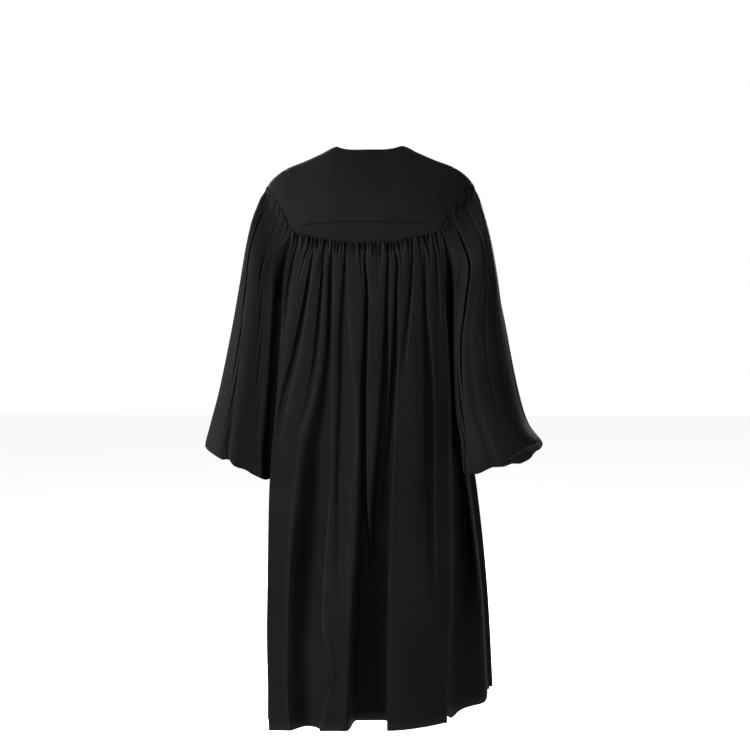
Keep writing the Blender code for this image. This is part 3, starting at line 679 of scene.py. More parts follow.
def yoke_back():
    """The smooth centre back piece."""
    low_turn = back_seam_turn(BACK_SEAM_HALF)

    def place(t, u):
        half = slant_x(mix(SHOULDER_SEAM_TURN, low_turn, t))
        turn = mix(back_top_turn(RIDGE_SEAM_HALF * u), back_seam_turn(BACK_SEAM_HALF * u), t)
        return figure(half * u, turn)

    points = spread(71, 141, place)
    out = normals(points)
    points = points + out * YOKE_PROUD
    return rolled(points, out, ("start", "end", "top", "bottom"), depth=0.0011, width=0.004)


def yoke_band(rng):
    """The band across the back, under the centre piece."""
    low_half = edge_x(BAND_TURN)

    def place(t, u):
        x = (mix(BACK_SEAM_HALF, low_half, t) + SEAM_CLOSE) * u
        return figure(x, mix(back_seam_turn(BACK_SEAM_HALF * u), edge_turn(low_half * u), t))

    points = spread(21, 161, place)
    out = normals(points)
    along = lengths(points[-1:], 1)
    up = np.linalg.norm(points - points[-1:], axis=2)
    ways = gather_rows(rng, 0.01, along[0, -1] - 0.01, *BAND_GATHERS)
    points = points - out * troughs(along, up, ways)[:, :, None]
    return rolled(points, out, ("top", "bottom"), depth=0.0009, width=0.003)


def yoke_side(side):
    """A side piece: front yoke and shoulder strip in one. Returns its grid and its notch."""
    seam = SHOULDER_SEAM_TURN
    front_rows, back_rows, front_columns, strip_columns = 54, 60, 45, 16
    neck_x = neck_edge_x(seam)
    seam_share = (RIDGE_SEAM_HALF - neck_x) / (edge_x(seam) - neck_x)
    shares = [seam_share * j / front_columns for j in range(front_columns)]
    shares += [mix(seam_share, 1, j / strip_columns) for j in range(strip_columns + 1)]
    places = []
    for i in range(front_rows + 1):
        places.append([side_front_place(i / front_rows, share) for share in shares])
    low_turn = back_seam_turn(BACK_SEAM_HALF)
    turns = [mix(seam, JUNCTION_TURN, i / back_rows) for i in range(1, back_rows + 1)]
    turns += [mix(JUNCTION_TURN, BAND_TURN, i / 4) for i in range(1, 5)]
    for turn in turns:
        inner_turn = mix(seam, low_turn, (turn - seam) / (BAND_TURN - seam))
        row = []
        for share in shares:
            across = max(0.0, (share - seam_share) / (1 - seam_share))
            row.append((mix(slant_x(inner_turn), edge_x(turn), across), mix(inner_turn, turn, across)))
        places.append(row)
    rows = []
    for row in places:
        points = [figure(x, turn) for x, turn in row]
        for point, (x, turn) in zip(points, row):
            if turn < 0:
                point.y += lap_step(x, side)
        rows.append([Vector((point.x * side, point.y, point.z)) for point in points])
    points = grid(rows)
    points = rolled(points, normals(points, -side), ("end", "top"), depth=0.0009, width=0.004)
    return points, (front_rows, front_columns)


# Gown

# The fronts' valleys, by height
VALLEY_HALF = (
    # z       from the bottom of a valley to the ridge beside it
    (-1.285, 0.018),
    (-0.950, 0.014),
    (-0.700, 0.010),
    (-0.450, 0.0080),
    (-0.250, 0.0055),
)
VALLEY_DEPTHS = (
    # z       depth of a valley of weight 1
    (-1.285, 0.001),
    (-1.000, 0.002),
    (-0.860, 0.005),
    (-0.740, 0.010),
    (-0.579, 0.018),
    (-0.440, 0.023),
    (-0.330, 0.022),
    (-0.260, 0.015),
    (-0.210, 0.005),
)
SHOULDER_SINK = 0.06      # a ridge's edge lies in by this share of the valley's depth
SIDE_MOST = 0.34          # and a valley's side takes at most this share of the way to the next

# The back's pleats, from the wearer's left to right. Each is a valley that ends at the sharp edge
# of the next ridge. A knot gives, at a row of the photograph: the column of that edge, the width of
# the valley's floor in columns, the floor's depth in millimetres and, where it isn't 0 all the way
# down, the next ridge's depth. The first number of a pleat is the share of the depth that is left
# at the foot of that edge, and the second widens the valley's other side lower down.
PLEATS = (
    (0.9, 1.0, (
        (240, 296, 1, 2), (262, 293, 2, 7), (300, 288, 2, 3), (340, 283, 1, 0), (450, 274, 1, 0),
        (620, 270, 1, 0), (730, 273, 1, 0),
    )),
    (0.8, 1.0, (
        (240, 315, 1, 2), (262, 312, 2, 10), (300, 307, 3, 15), (350, 299, 4, 12), (400, 288, 4, 6),
        (450, 280, 3, 0), (620, 275, 2, 0), (730, 277, 1, 0),
    )),
    (0.9, 1.0, (
        (240, 326, 1, 2), (262, 324, 1, 9), (300, 322, 2, 12), (350, 319, 3, 9), (400, 311, 3, 4),
        (450, 296, 2, 0), (560, 286, 1, 0), (680, 283, 1, 0), (730, 288, 1, 0),
    )),
    (0.5, 3.6, (
        (240, 333, 1, 2), (262, 333, 2, 11), (300, 333, 3, 15), (350, 332, 3, 15), (400, 331, 5, 22),
        (450, 331, 13, 34), (500, 329, 16, 46), (560, 325, 18, 56), (620, 322, 17, 48),
        (640, 325, 20, 42), (656, 331, 26, 42), (668, 335, 30, 43), (680, 333, 28, 44),
        (692, 326, 21, 45), (710, 322, 16, 46), (730, 319, 12, 44),
    )),
    (0.35, 1.0, (
        (240, 346, 1, 2), (262, 347, 2, 9), (300, 348, 5, 12), (350, 351, 9, 12), (400, 355, 13, 11),
        (445, 356, 15, 9), (491, 352, 12, 7), (560, 348, 8, 4), (620, 344, 4, 0), (730, 338, 2, 0),
    )),
    (0.9, 1.0, (
        (240, 366, 1, 2, 0), (262, 367, 2, 10, 0), (300, 369, 2, 18, 0), (350, 368, 2, 22, 0),
        (400, 367, 2, 25, 0), (450, 367, 2, 28, 0), (500, 367, 3, 40, 10), (550, 368, 6, 66, 56),
        (600, 367, 8, 82, 82), (680, 365, 9, 92, 92), (730, 363, 9, 99, 99),
    )),
    (0.9, 1.0, (
        (240, 389, 1, 2, 0), (262, 390, 2, 9, 0), (300, 389, 2, 14, 0), (350, 389, 3, 20, 2),
        (400, 388, 4, 26, 12), (450, 386, 5, 32, 26), (500, 382, 5, 50, 46), (550, 380, 5, 69, 69),
        (600, 377, 5, 82, 82), (680, 375, 5, 92, 92), (730, 373, 5, 99, 99),
    )),
    (0.9, 1.0, (
        (240, 399, 1, 2), (262, 399, 1, 9), (300, 398, 1, 14), (350, 398, 2, 18), (400, 396, 3, 24),
        (450, 394, 3, 30), (500, 391, 4, 46), (550, 389, 4, 69), (600, 388, 5, 82), (680, 387, 6, 92),
        (730, 387, 7, 99),
    )),
    (0.8, 1.0, (
        (240, 415, 1, 2), (262, 414, 1, 7), (300, 412, 2, 9), (350, 408, 2, 4), (390, 406, 2, 0),
        (730, 402, 1, 0),
    )),
    (0.9, 1.0, (
        (240, 426, 1, 2), (262, 427, 2, 8), (300, 427, 2, 12), (350, 431, 4, 15), (400, 434, 6, 18),
        (450, 435, 7, 18), (500, 435, 6, 13), (560, 436, 5, 5), (600, 437, 3, 0), (730, 434, 2, 0),
    )),
    (0.9, 1.0, (
        (240, 437, 1, 2), (262, 438, 1, 6), (295, 440, 1, 3), (340, 442, 1, 0), (600, 443, 1, 0),
        (730, 440, 1, 0),
    )),
)

# Widths of a pleat's soft side and of its sharp side, and the last ridge's edge on the wearer's
# right, in columns of the photograph
FLANKS = (
    # row soft  sharp edge
    (240, 1.2, 0.8, 443),
    (300, 1.8, 1.1, 446),
    (400, 3.0, 1.6, 451),
    (560, 3.4, 1.9, 453),
    (730, 3.6, 2.0, 446),
)
WIDE_FROM = 330           # row from which a pleat's soft side is widened
WIDE_FALL = 130           # and rows over which that grows
BACK_AWAY = 0.17          # depth of the back's cloth at which the photograph's rows are read
LEFT_DROP = 0.002         # the back's left edge lies this much further in than the ridge beside it
CROWN = 0.0012            # a ridge stands this far proud in its middle
SLOPE = 0.10              # and falls by this share of the next valley's depth towards it
SIDE_TUCK = (
    # z      extra depth of the side valley
    (-1.30, 0.045),
    (-1.20, 0.060),
    (-1.05, 0.100),
    (-0.90, 0.115),
    (-0.60, 0.095),
    (-0.45, 0.060),
    (-0.32, 0.0),
)


def photo_row(z):
    """Row of the photograph at a height on the robe's back."""
    return PHOTO_SIZE / 2 + (CAMERA_Z - z) * FOCAL_PIXELS / (CAMERA_AWAY - BACK_AWAY)


def photo_x(column, y):
    """x of a point at a column of the photograph and a depth."""
    sideways = (PHOTO_SIZE / 2 - column) * (CAMERA_AWAY - y) / FOCAL_PIXELS
    return sideways - CAMERA_SIDE - math.sin(math.radians(CAMERA_TURN)) * y


def photo_column(x, y):
    """Column of the photograph of a point at x and a depth."""
    sideways = x + CAMERA_SIDE + math.sin(math.radians(CAMERA_TURN)) * y
    return PHOTO_SIZE / 2 - sideways * FOCAL_PIXELS / (CAMERA_AWAY - y)


def read(knots, column, row):
    """A column of a table of knots, at a row of the photograph."""
    return curve(tuple((knot[0], knot[column]) for knot in knots), row)


def steady(points, at):
    """As refine, on curves that never swing past a point, for flat ridges and crisp edges."""
    steps = np.diff(points, axis=0)
    before = np.concatenate([steps[:1], steps])
    after = np.concatenate([steps, steps[-1:]])
    most = 3 * np.minimum(np.abs(before), np.abs(after))
    lean = np.clip((before + after) / 2, -most, most) * (before * after > 0)
    i = np.minimum(at.astype(int), len(points) - 2)
    t = (at - i)[:, None, None]
    return (
        points[i] * (1 + 2 * t) * (1 - t) ** 2
        + points[i + 1] * t ** 2 * (3 - 2 * t)
        + lean[i] * t * (1 - t) ** 2
        - lean[i + 1] * t ** 2 * (1 - t)
    )


# Width of each side of each valley, as shares of VALLEY_HALF
FRONT_LEANS = ((1.2, 0.7), (0.7, 1.3), (1.3, 0.8), (0.7, 1.2), (1.2, 0.8))


def pleated(valleys, surface, z):
    """Plan points across valleys (x, weight) at a height, with broad flat ridges between them."""
    deep = curve(VALLEY_DEPTHS, z)
    half = curve(VALLEY_HALF, z)
    keys = []
    for i, (x, weight) in enumerate(valleys):
        if i > 0:
            previous, last_weight = valleys[i - 1]
            gap = x - previous
            start = math.copysign(min(half * FRONT_LEANS[i - 1][1], SIDE_MOST * abs(gap)), gap)
            end = math.copysign(min(half * FRONT_LEANS[i][0], SIDE_MOST * abs(gap)), gap)
            keys.append(surface(previous + start, SHOULDER_SINK * deep * last_weight))
            keys.append(surface((previous + start + x - end) / 2, 0.0))
            keys.append(surface(x - end, SHOULDER_SINK * deep * weight))
        keys.append(surface(x, deep * weight))
    return keys


def back_keys(z):
    """Plan points round the back at a height."""
    row = photo_row(z)
    near = surface_y(BACK_X, BACK_Y, 0.0, z)

    def surface(column, depth):
        x = photo_x(column, near)
        return Vector((x, surface_y(BACK_X, BACK_Y, x, z) - depth))

    soft_side, sharp_side, last_edge = (read(FLANKS, k, row) for k in (1, 2, 3))
    keys = [side_line("left_seam", z), side_line("left_back", z), side_line("left_ridge", z)]
    keys[2].y = surface_y(BACK_X, BACK_Y, keys[2].x, z) - LEFT_DROP
    ridge_start, ridge_depth = photo_column(keys[2].x, near), 0.0
    last_deep = 0.0
    for left, wide, knots in PLEATS:
        edge, floor, deep = (read(knots, k, row) for k in (1, 2, 3))
        ridge = read(knots, 4, row) / 1000 if len(knots[0]) > 4 else 0.0
        deep /= 1000
        soft_now = soft_side * mix(1.0, wide, ease((row - WIDE_FROM) / WIDE_FALL))
        room = edge - ridge_start - 0.5
        fit = min(1.0, room / (sharp_side + floor + soft_now))
        start = edge - (sharp_side + floor + soft_now) * fit
        crown = CROWN * min(1.0, (deep - ridge_depth + last_deep) / 0.010)
        last_deep = deep - ridge
        keys.append(surface((ridge_start + start) / 2, ridge_depth - crown))
        keys.append(surface(start, ridge_depth + SLOPE * (deep - ridge_depth)))
        keys.append(surface(start + soft_now * fit, deep))
        keys.append(surface(edge - sharp_side * fit, mix(ridge, deep, left)))
        keys.append(surface(edge, ridge))
        ridge_start, ridge_depth = edge, ridge
    keys.append(surface((ridge_start + last_edge) / 2, 0.0))
    keys.append(surface(last_edge, 0.002))
    valley = side_line("right_valley", z)
    tuck = curve(SIDE_TUCK, z)
    keys.append(Vector((keys[-1].x + tuck / 12, mix(keys[-1].y, valley.y - tuck, 0.4))))
    keys.append(Vector((valley.x - tuck / 4, valley.y - tuck)))
    return keys + [side_line("right_ridge", z), side_line("right_seam", z)]


SEAM_UNDER = 0.0035       # a front's side edge reaches this far under the back's
SEAM_IN = 0.0016          # and lies this much further in


def front_keys(z, side):
    """Plan points round one front at a height, from its side seam to its lapped edge."""
    which = "left" if side > 0 else "right"
    valleys = [(level_value(fold[:-1], z), fold[-1]) for fold in FRONT_FOLDS]

    def surface(x, depth):
        y = surface_y(FRONT_X, FRONT_Y, x * side, z) + trough_depth(FRONT_TROUGHS, x, z) + depth
        return Vector((x * side, y))

    seam = side_line(which + "_seam", z)
    behind = side_line("left_back" if side > 0 else "right_ridge", z)
    under = seam + (behind - seam).normalized() * SEAM_UNDER - Vector((side * SEAM_IN, 0))
    keys = [under, side_line(which + "_corner", z)]
    keys += pleated(valleys, surface, z)
    keys.append(surface((valleys[-1][0] + FRONT_EDGE_FLAT) / 2, 0.0))
    for x in (LAP, LAP / 3, -LAP / 2):
        keys.append(surface(x, lap_step(x, side)))
    return keys


# Fine columns between one key and the next. FRONT_SPANS has one entry more than the fronts have
# steps between keys, so their last 8 columns run on past the last key, and each front's edge lies
# 35 mm past the middle below the yoke, where its solid's lies 15 mm past it.
BACK_SPANS = [12, 14, 8] + [13, 4, 5, 4, 13] * len(PLEATS) + [10, 6, 8, 18, 14]
FRONT_SPANS = [14, 12, 8] + [7] * (4 * (len(FRONT_FOLDS) - 1)) + [10, 8, 5, 8]
FLAT_COLUMNS = 13         # columns at a front's lapped edge that have no gathers
BACK_ARMS = (26, 27)      # columns along the back's armholes
FRONT_ARMS = (26,)        # and a front's


def gown_top(plan_x, arms, order, back):
    """The top edge of a panel, one point for each column of its plan.

    arms gives the columns at each armhole. Between them the edge's columns are spread as the
    plan's are, so that folds run straight down from it.
    """
    total = len(plan_x) - 1
    x_join = edge_x(JUNCTION_TURN)
    points = []
    for j in range(total + 1):
        if j <= arms[0]:
            points.append(armhole_edge(order[0], back, j / arms[0]))
        elif len(order) > 1 and total - j <= arms[1]:
            points.append(armhole_edge(order[1], back, (total - j) / arms[1]))
        else:
            end = -x_join if len(order) > 1 else -LAP / 2
            left = arms[1] if len(order) > 1 else 0
            share = (plan_x[j] - plan_x[arms[0]]) / (plan_x[total - left] - plan_x[arms[0]])
            x = mix(x_join, end, share) * order[0]
            points.append(figure(x, edge_turn(x) * back))
    return points


GOWN_LEVELS = np.linspace(-1.30, -0.16, 96)
TOP_LEVEL = 87            # the level just below the yoke's lower edge
GOWN_ROWS = 92
SIDE_DROP = 0.026         # the hem hangs lower in the side valley on the wearer's right
SIDE_DROP_AT = -97        # at this plan angle
SIDE_DROP_HALF = 28       # and fades out over this much of it
# Soft folds down the gown's sides: column, half width in columns, depth
BACK_HANGS = ((5, 1.8, 0.010), (10, 1.3, 0.006), (16, 1.6, 0.012), (21, 1.2, 0.006))
FRONT_HANGS = ((4, 1.5, 0.008), (9, 1.8, 0.012), (19, 1.6, 0.010))
HANG_FROM = -0.36         # they start at this height
HANG_FALL = 0.45          # and are whole this much lower
LEAVE = 0.052             # fall over which the gown leaves the yoke's edge for its own plan
# Kinds of gathers: pitch along the seam, depths, lengths down the cloth, and half width by pitch
BACK_GATHERS = (
    (0.0056, (0.0030, 0.0110), (0.018, 0.07), 0.22),
    (0.0140, (0.0060, 0.0140), (0.07, 0.30), 0.15),
)
FRONT_GATHERS = (
    (0.0060, (0.0028, 0.0100), (0.018, 0.07), 0.22),
    (0.0150, (0.0060, 0.0130), (0.07, 0.30), 0.15),
)
GATHER_ENDS = 0.012       # gathers fade in over this much of the seam at both ends
GATHER_START = 0.004      # and over this much below it
PUFF_GONE = 0.003         # a gather of this depth leaves no puff
PUFF_REACH = 0.008        # fall at which the puff is highest
BACK_PUFF = 0.0034        # and its height there
FRONT_PUFF = 0.0032


def gown_plan(keys_at, spans):
    """Plan of every fine column at every level."""
    keys = np.array([[tuple(key) for key in keys_at(z)] for z in GOWN_LEVELS])
    places = [0.0]
    for index, count in enumerate(spans):
        places += [index + (i + 1) / count for i in range(count)]
    return steady(np.swapaxes(keys, 0, 1), np.array(places))


def low_edge(x, y):
    """Height of the gown's lower edge below a plan point."""
    apart = math.degrees(math.atan2(x, y)) - SIDE_DROP_AT
    return hem_height(x, y) - SIDE_DROP * bump(apart, SIDE_DROP_HALF)


def gown(plan, top):
    """Fine grid of a gown panel from its top edge to the hem, with closer rows near the top."""
    edge = np.array([tuple(point) for point in top])
    hem = np.array([low_edge(x, y) for x, y in plan[:, 0]])
    t = np.linspace(0, 1, GOWN_ROWS)
    share = (0.22 * t + 0.78 * t ** 2)[:, None]
    z = edge[:, 2] + (hem - edge[:, 2]) * share
    first, second = GOWN_LEVELS[:2]
    at = np.clip((z - first) / (second - first), 0, len(GOWN_LEVELS) - 1.001)
    low = at.astype(int)
    part = (at - low)[:, :, None]
    column = np.arange(len(top))
    flat = plan[column, low] * (1 - part) + plan[column, low + 1] * part
    leave = soft((edge[:, 2] - z) / LEAVE)[:, :, None]
    flat = edge[:, :2] * (1 - leave) + flat * leave
    return np.concatenate([flat, z[:, :, None]], axis=2)


def gathered(points, out, rows, first, last, puff, reach):
    """Adds gathers and a soft puff, highest at its reach below the top edge, between two columns."""
    place = lengths(points[:1], 1)
    place = place - place[:, first:first + 1]
    end = place[0, last]
    fall = np.linalg.norm(points - points[:1], axis=2)
    inside = soft(place / GATHER_ENDS) * soft((end - place) / GATHER_ENDS)
    depth = troughs(place, fall, rows) * soft(fall / GATHER_START)
    rise = puff * (fall / reach) * np.exp(1 - fall / reach) * (1 - np.clip(depth / PUFF_GONE, 0, 1))
    return points + out * ((rise - depth) * inside)[:, :, None]


def hang(points, out, folds):
    """Adds soft folds down the gown's side."""
    column = np.arange(points.shape[1])[None, :]
    grow = soft((HANG_FROM - points[:, :, 2]) / HANG_FALL)
    for middle, half, depth in folds:
        points = points - out * (depth * grow * np.exp(-((column - middle) / half) ** 2))[:, :, None]
    return points


def dressed(rng, points, facing, first, last, gathers, puff, hangs, edges):
    """Adds a gown panel's gathers between two columns, its side folds and its rolled seams."""
    width = lengths(points[:1], 1)[0]
    span = width[last] - width[first]
    rows = []
    for kind in gathers:
        rows += gather_rows(rng, 0.0, span, *kind)
    points = gathered(points, normals(points, facing), rows, first, last, puff, PUFF_REACH)
    points = hang(points, normals(points, facing), hangs)
    return rolled(points, normals(points, facing), edges, depth=0.0005, width=0.003)


def gown_back(rng):
    """The back of the gown."""
    plan = gown_plan(back_keys, BACK_SPANS)
    top = gown_top(plan[:, TOP_LEVEL, 0], BACK_ARMS, (1, -1), 1)
    last = len(top) - 1 - BACK_ARMS[1]
    edges = ("top", "start", "end")
    points = gown(plan, top)
    return dressed(rng, points, 1, BACK_ARMS[0], last, BACK_GATHERS, BACK_PUFF, BACK_HANGS, edges)


def gown_front(side, rng):
    """One front of the gown."""
    plan = gown_plan(lambda z: front_keys(z, side), FRONT_SPANS)
    top = gown_top(plan[:, TOP_LEVEL, 0], FRONT_ARMS, (side,), -1)
    for point in top:
        point.y += lap_step(point.x, side)
    last = len(top) - 1 - FLAT_COLUMNS
    edges = ("top", "start")
    points = gown(plan, top)
    return dressed(rng, points, -side, FRONT_ARMS[0], last, FRONT_GATHERS, FRONT_PUFF, FRONT_HANGS, edges)


# Sleeves

SLEEVE_COLUMNS = 330
CAP_SHARE = 40 / 54       # share of the sleeve's edge that is gathered onto the yoke
UNDER_TUCK = Vector((-0.0030, -0.0014, 0.0010))   # under the arm the sleeve starts inside the gown
SQUARE_POWER = 0.58       # how round a sleeve's plan is: 1 for an ellipse, less for flatter sides
CORNER_POWER = 0.48       # this much less at the corner beside the gown's back
CORNER_AT = 152           # that corner's place, in degrees from the sleeve's outer side
CORNER_HALF = 55          # and its half width
# As BACK_GATHERS, at the armhole and at the cuff
CAP_GATHERS = (0.0070, (0.0026, 0.0092), (0.020, 0.13), 0.22)
CUFF_GATHERS = (0.0090, (0.0020, 0.0036), (0.02, 0.07), 0.22)
CAP_PUFF = 0.0036
CAP_PUFF_REACH = 0.009

# Folds down each sleeve: angle from its outer side at the cap, the elbow and the wrist, depth at
# the same places, and half width
LEFT_SLEEVE_FOLDS = (
    (34, 30, 26, 0.006, 0.006, 0.004, 7),
    (348, 344, 338, 0.006, 0.007, 0.004, 8),
    (54, 66, 84, 0.008, 0.007, 0.004, 4.5),
    (92, 120, 142, 0.006, 0.003, 0.001, 5),
    (206, 210, 214, 0.003, 0.006, 0.005, 9),
    (246, 240, 236, 0.008, 0.010, 0.006, 8),
    (280, 284, 290, 0.008, 0.009, 0.005, 8),
    (322, 326, 330, 0.005, 0.006, 0.003, 8),
)
RIGHT_SLEEVE_FOLDS = (
    (34, 28, 24, 0.007, 0.006, 0.004, 6),
    (350, 346, 340, 0.006, 0.007, 0.004, 8),
    (72, 52, 46, 0.009, 0.003, 0.001, 4),
    (106, 103, 126, 0.016, 0.013, 0.005, 4),
    (86, 84, 80, 0.000, 0.002, 0.004, 12),
    (206, 210, 214, 0.003, 0.006, 0.005, 9),
    (244, 238, 234, 0.008, 0.010, 0.006, 8),
    (282, 288, 292, 0.008, 0.009, 0.005, 8),
    (324, 328, 332, 0.005, 0.006, 0.003, 8),
)
# Where gathers lift a sleeve's lower edge: angle, half width, lift
LEFT_LIFTS = ((82, 13, 0.007), (112, 16, 0.003), (262, 14, 0.007), (306, 14, 0.004))
RIGHT_LIFTS = ((156, 26, 0.036), (84, 18, 0.003), (258, 14, 0.006), (300, 14, 0.004))


def angle_apart(angle, place):
    """Degrees from a place round the sleeve to an angle in radians."""
    return (math.degrees(angle) - place + 180) % 360 - 180


def squarer(plan, table, z, angle):
    """Moves a point of a sleeve's plan out, so that its back and front are flatter.

    The corner beside the gown's back is the squarest, where the sleeve lies against it.
    """
    back, front = (curve(tuple((row[0], row[k]) for row in table), z) for k in (3, 4))
    middle, half = (back + front) / 2, (back - front) / 2
    reach = (plan.y - middle) / half
    power = SQUARE_POWER - CORNER_POWER * bump(angle_apart(angle, CORNER_AT), CORNER_HALF)
    return Vector((plan.x, middle + half * math.copysign(abs(reach) ** power, reach)))


def fold_depth(folds, angle, down):
    """How far the folds draw the sleeve in, at an angle and a share of the way down."""
    steps = (0.0, 0.5, 1.0)
    total = 0.0
    for fold in folds:
        place = curve(tuple(zip(steps, fold[:3])), down)
        depth = curve(tuple(zip((0.0, 0.06, 0.5, 1.0), (0.0,) + fold[3:6])), down)
        total += bump(angle_apart(angle, place), fold[6]) * depth
    return total


def lift_at(lifts, angle):
    """Lift of the sleeve's lower edge at an angle."""
    return sum(bump(angle_apart(angle, place), half) * lift for place, half, lift in lifts)


SLEEVE_STEPS = (0.0, 0.020, 0.055, 0.120, 0.230, 0.380, 0.560, 0.780, 0.92, 1.0)
FINE_ROWS = 88


def sleeve_start(share):
    """The left sleeve's edge, from the front junction over the shoulder, back and under the arm."""
    if share <= CAP_SHARE:
        turn = mix(-JUNCTION_TURN, JUNCTION_TURN, share / CAP_SHARE)
        return figure(edge_x(turn), turn)
    down = (share - CAP_SHARE) / (1 - CAP_SHARE) * 2
    point = armhole_edge(1, 1, 1 - down) if down <= 1 else armhole_edge(1, -1, down - 1)
    tuck = UNDER_TUCK * ease(6 * (1 - abs(1 - down)))
    return point + Vector((tuck.x, math.copysign(tuck.y, down - 1), tuck.z))


def sleeve(side, table, twist, bottom, cuff, folds, lifts, rng):
    """Fine grid of a sleeve, from the armhole down to its widest, then turned under to the cuff."""
    shares = [j / SLEEVE_COLUMNS for j in range(SLEEVE_COLUMNS)]
    angles = [2 * math.pi * (share - CAP_SHARE / 2) for share in shares]
    starts = [sleeve_start(share) for share in shares]
    rows = []
    for step in SLEEVE_STEPS:
        row = []
        for angle, start in zip(angles, starts):
            puff = mix(PUFF_HEIGHT, TIP_HEIGHT, max(0.0, math.cos(angle))) * PUFF_SHARE
            lift = lift_at(lifts, angle)
            z = mix(start.z, curve(bottom, math.cos(angle)) + puff + lift, step)
            plan = squarer(sleeve_plan(table, twist, angle, z), table, z, angle)
            centre = (sleeve_plan(table, twist, 0, z) + sleeve_plan(table, twist, math.pi, z)) / 2
            plan += (centre - plan).normalized() * (fold_depth(folds, angle, step) + 0.5 * lift * step ** 3)
            blend = mix(BLEND_OUTER, BLEND_SIDE, math.sin(angle) ** 2)
            flat = Vector((start.x, start.y)).lerp(plan, ease(step / blend))
            row.append(Vector((flat.x, flat.y, z)))
        rows.append(row)
    widest = rows[-1]
    for step, rise in TURNED_END:
        row = []
        for angle, point in zip(angles, widest):
            flat = Vector((point.x, point.y)).lerp(cuff_plan(cuff, angle), step)
            low = curve(bottom, math.cos(angle)) + rise + lift_at(lifts, angle)
            z = mix(low, CUFF_TOP, ease(step))
            row.append(Vector((flat.x, flat.y, z)))
        rows.append(row)
    t = np.linspace(0, 1, FINE_ROWS)
    last = len(rows) - 1
    points = refine(grid(rows), last * (0.75 * t + 0.25 * t ** 2))
    cap = int(CAP_SHARE * SLEEVE_COLUMNS)
    ways = gather_rows(rng, 0.0, lengths(points[:1], 1)[0, cap], *CAP_GATHERS)
    points = gathered(points, normals(points, 1, True), ways, 0, cap, CAP_PUFF, CAP_PUFF_REACH)
    # gathers at the cuff run up the inside of the turned end
    up = np.linalg.norm(points - points[-1:], axis=2)
    ways = gather_rows(rng, 0.0, CUFF_ROUND, *CUFF_GATHERS)
    depth = troughs(np.array(shares)[None] * CUFF_ROUND, up, ways) * soft(up / 0.006)
    points = points - normals(points, 1, True) * depth[:, :, None]
    if side < 0:
        points = points[:, ::-1] * np.array([-1.0, 1.0, 1.0])
    return points


def cuff_band(side, cuff):
    """Grid of a narrow cuff."""
    count = 96
    rows = []
    for fall in np.linspace(0, CUFF_HEIGHT, 9):
        row = []
        for j in range(count):
            plan = cuff_plan(cuff, 2 * math.pi * j / count * side)
            row.append((plan.x * side, plan.y, CUFF_TOP - 0.0003 - fall))
        rows.append(row)
    return np.array(rows)


# Materials

# Paler colour for real wear at free hems and for a painted highlight on the folds' sharp crests
WEAR_AND_HIGHLIGHT_COLOUR = (0.011, 0.011, 0.0115, 1)


def node(tree, kind, *links, **values):
    """A shader node, with values set by input name and links of (input, another node's output)."""
    made = tree.nodes.new("ShaderNode" + kind)
    for name, value in values.items():
        made.inputs[name.replace("_", " ")].default_value = value
    for name, output in links:
        tree.links.new(output, made.inputs[name])
    return made


def cloth(name, dark, light, rough, sheen):
    """Black woven cloth: fine threads, slight unevenness of tone and a faint sheen."""
    material = bpy.data.materials.new(name)
    material.use_nodes = True
    tree = material.node_tree
    threads = node(tree, "UVMap")
    threads.uv_map = "threads"
    place = node(tree, "TexCoord").outputs["Object"]

    def noise(scale, detail, roughness):
        made = node(tree, "TexNoise", ("Vector", place), Scale=scale, Detail=detail, Roughness=roughness)
        return made.outputs["Fac"]

    weave = []
    for axis in ("X", "Y"):
        wave = node(
            tree, "TexWave", ("Vector", threads.outputs["UV"]),
            Scale=520.0, Distortion=1.2, Detail=1.0,
        )
        wave.bands_direction = axis
        weave.append(wave.outputs["Fac"])
    crossing = node(tree, "Math", (0, weave[0]), (1, weave[1]))
    crossing.operation = "MAXIMUM"

    patches, slubs, cockle = noise(7.0, 5.0, 0.55), noise(260.0, 3.0, 0.6), noise(42.0, 2.0, 0.5)
    both = node(tree, "Mix", ("A", patches), ("B", slubs), Factor=0.35)
    tone = node(tree, "ValToRGB", ("Fac", both.outputs["Result"]))
    for stop, position, colour in zip(tone.color_ramp.elements, (0.30, 0.72), (dark, light)):
        stop.position = position
        stop.color = colour
    # The attribute marks wear at the hem and the folds' sharp crests. On the crests the paler colour is a
    # painted highlight
    wear_and_crest_highlight = node(tree, "Attribute")
    wear_and_crest_highlight.attribute_name = "wear_and_crest_highlight"
    patchy = node(tree, "Math", (0, wear_and_crest_highlight.outputs["Fac"]), (1, slubs))
    patchy.operation = "MULTIPLY"
    paler = node(tree, "Mix", ("Factor", patchy.outputs["Value"]))
    paler.data_type = "RGBA"
    colours = [socket for socket in paler.inputs if socket.type == "RGBA"]
    colours[1].default_value = WEAR_AND_HIGHLIGHT_COLOUR
    tree.links.new(tone.outputs["Color"], colours[0])

    worn = node(tree, "MapRange", ("Value", patches), To_Min=rough - 0.05, To_Max=rough + 0.06)
    soft_bump = node(tree, "Bump", ("Height", cockle), Strength=0.35, Distance=0.0006)
    fine_bump = node(
        tree, "Bump", ("Height", crossing.outputs["Value"]), ("Normal", soft_bump.outputs["Normal"]),
        Strength=0.30, Distance=0.00012,
    )
    shader = tree.nodes["Principled BSDF"]
    shader.inputs["Metallic"].default_value = 0.0
    shader.inputs["Specular IOR Level"].default_value = 0.002
    shader.inputs["Sheen Weight"].default_value = sheen
    shader.inputs["Sheen Roughness"].default_value = 0.30
    shader.inputs["Sheen Tint"].default_value = (0.55, 0.57, 0.62, 1.0)
    result = [socket for socket in paler.outputs if socket.type == "RGBA"][0]
    tree.links.new(result, shader.inputs["Base Color"])
    tree.links.new(worn.outputs["Result"], shader.inputs["Roughness"])
    tree.links.new(fine_bump.outputs["Normal"], shader.inputs["Normal"])
    return material


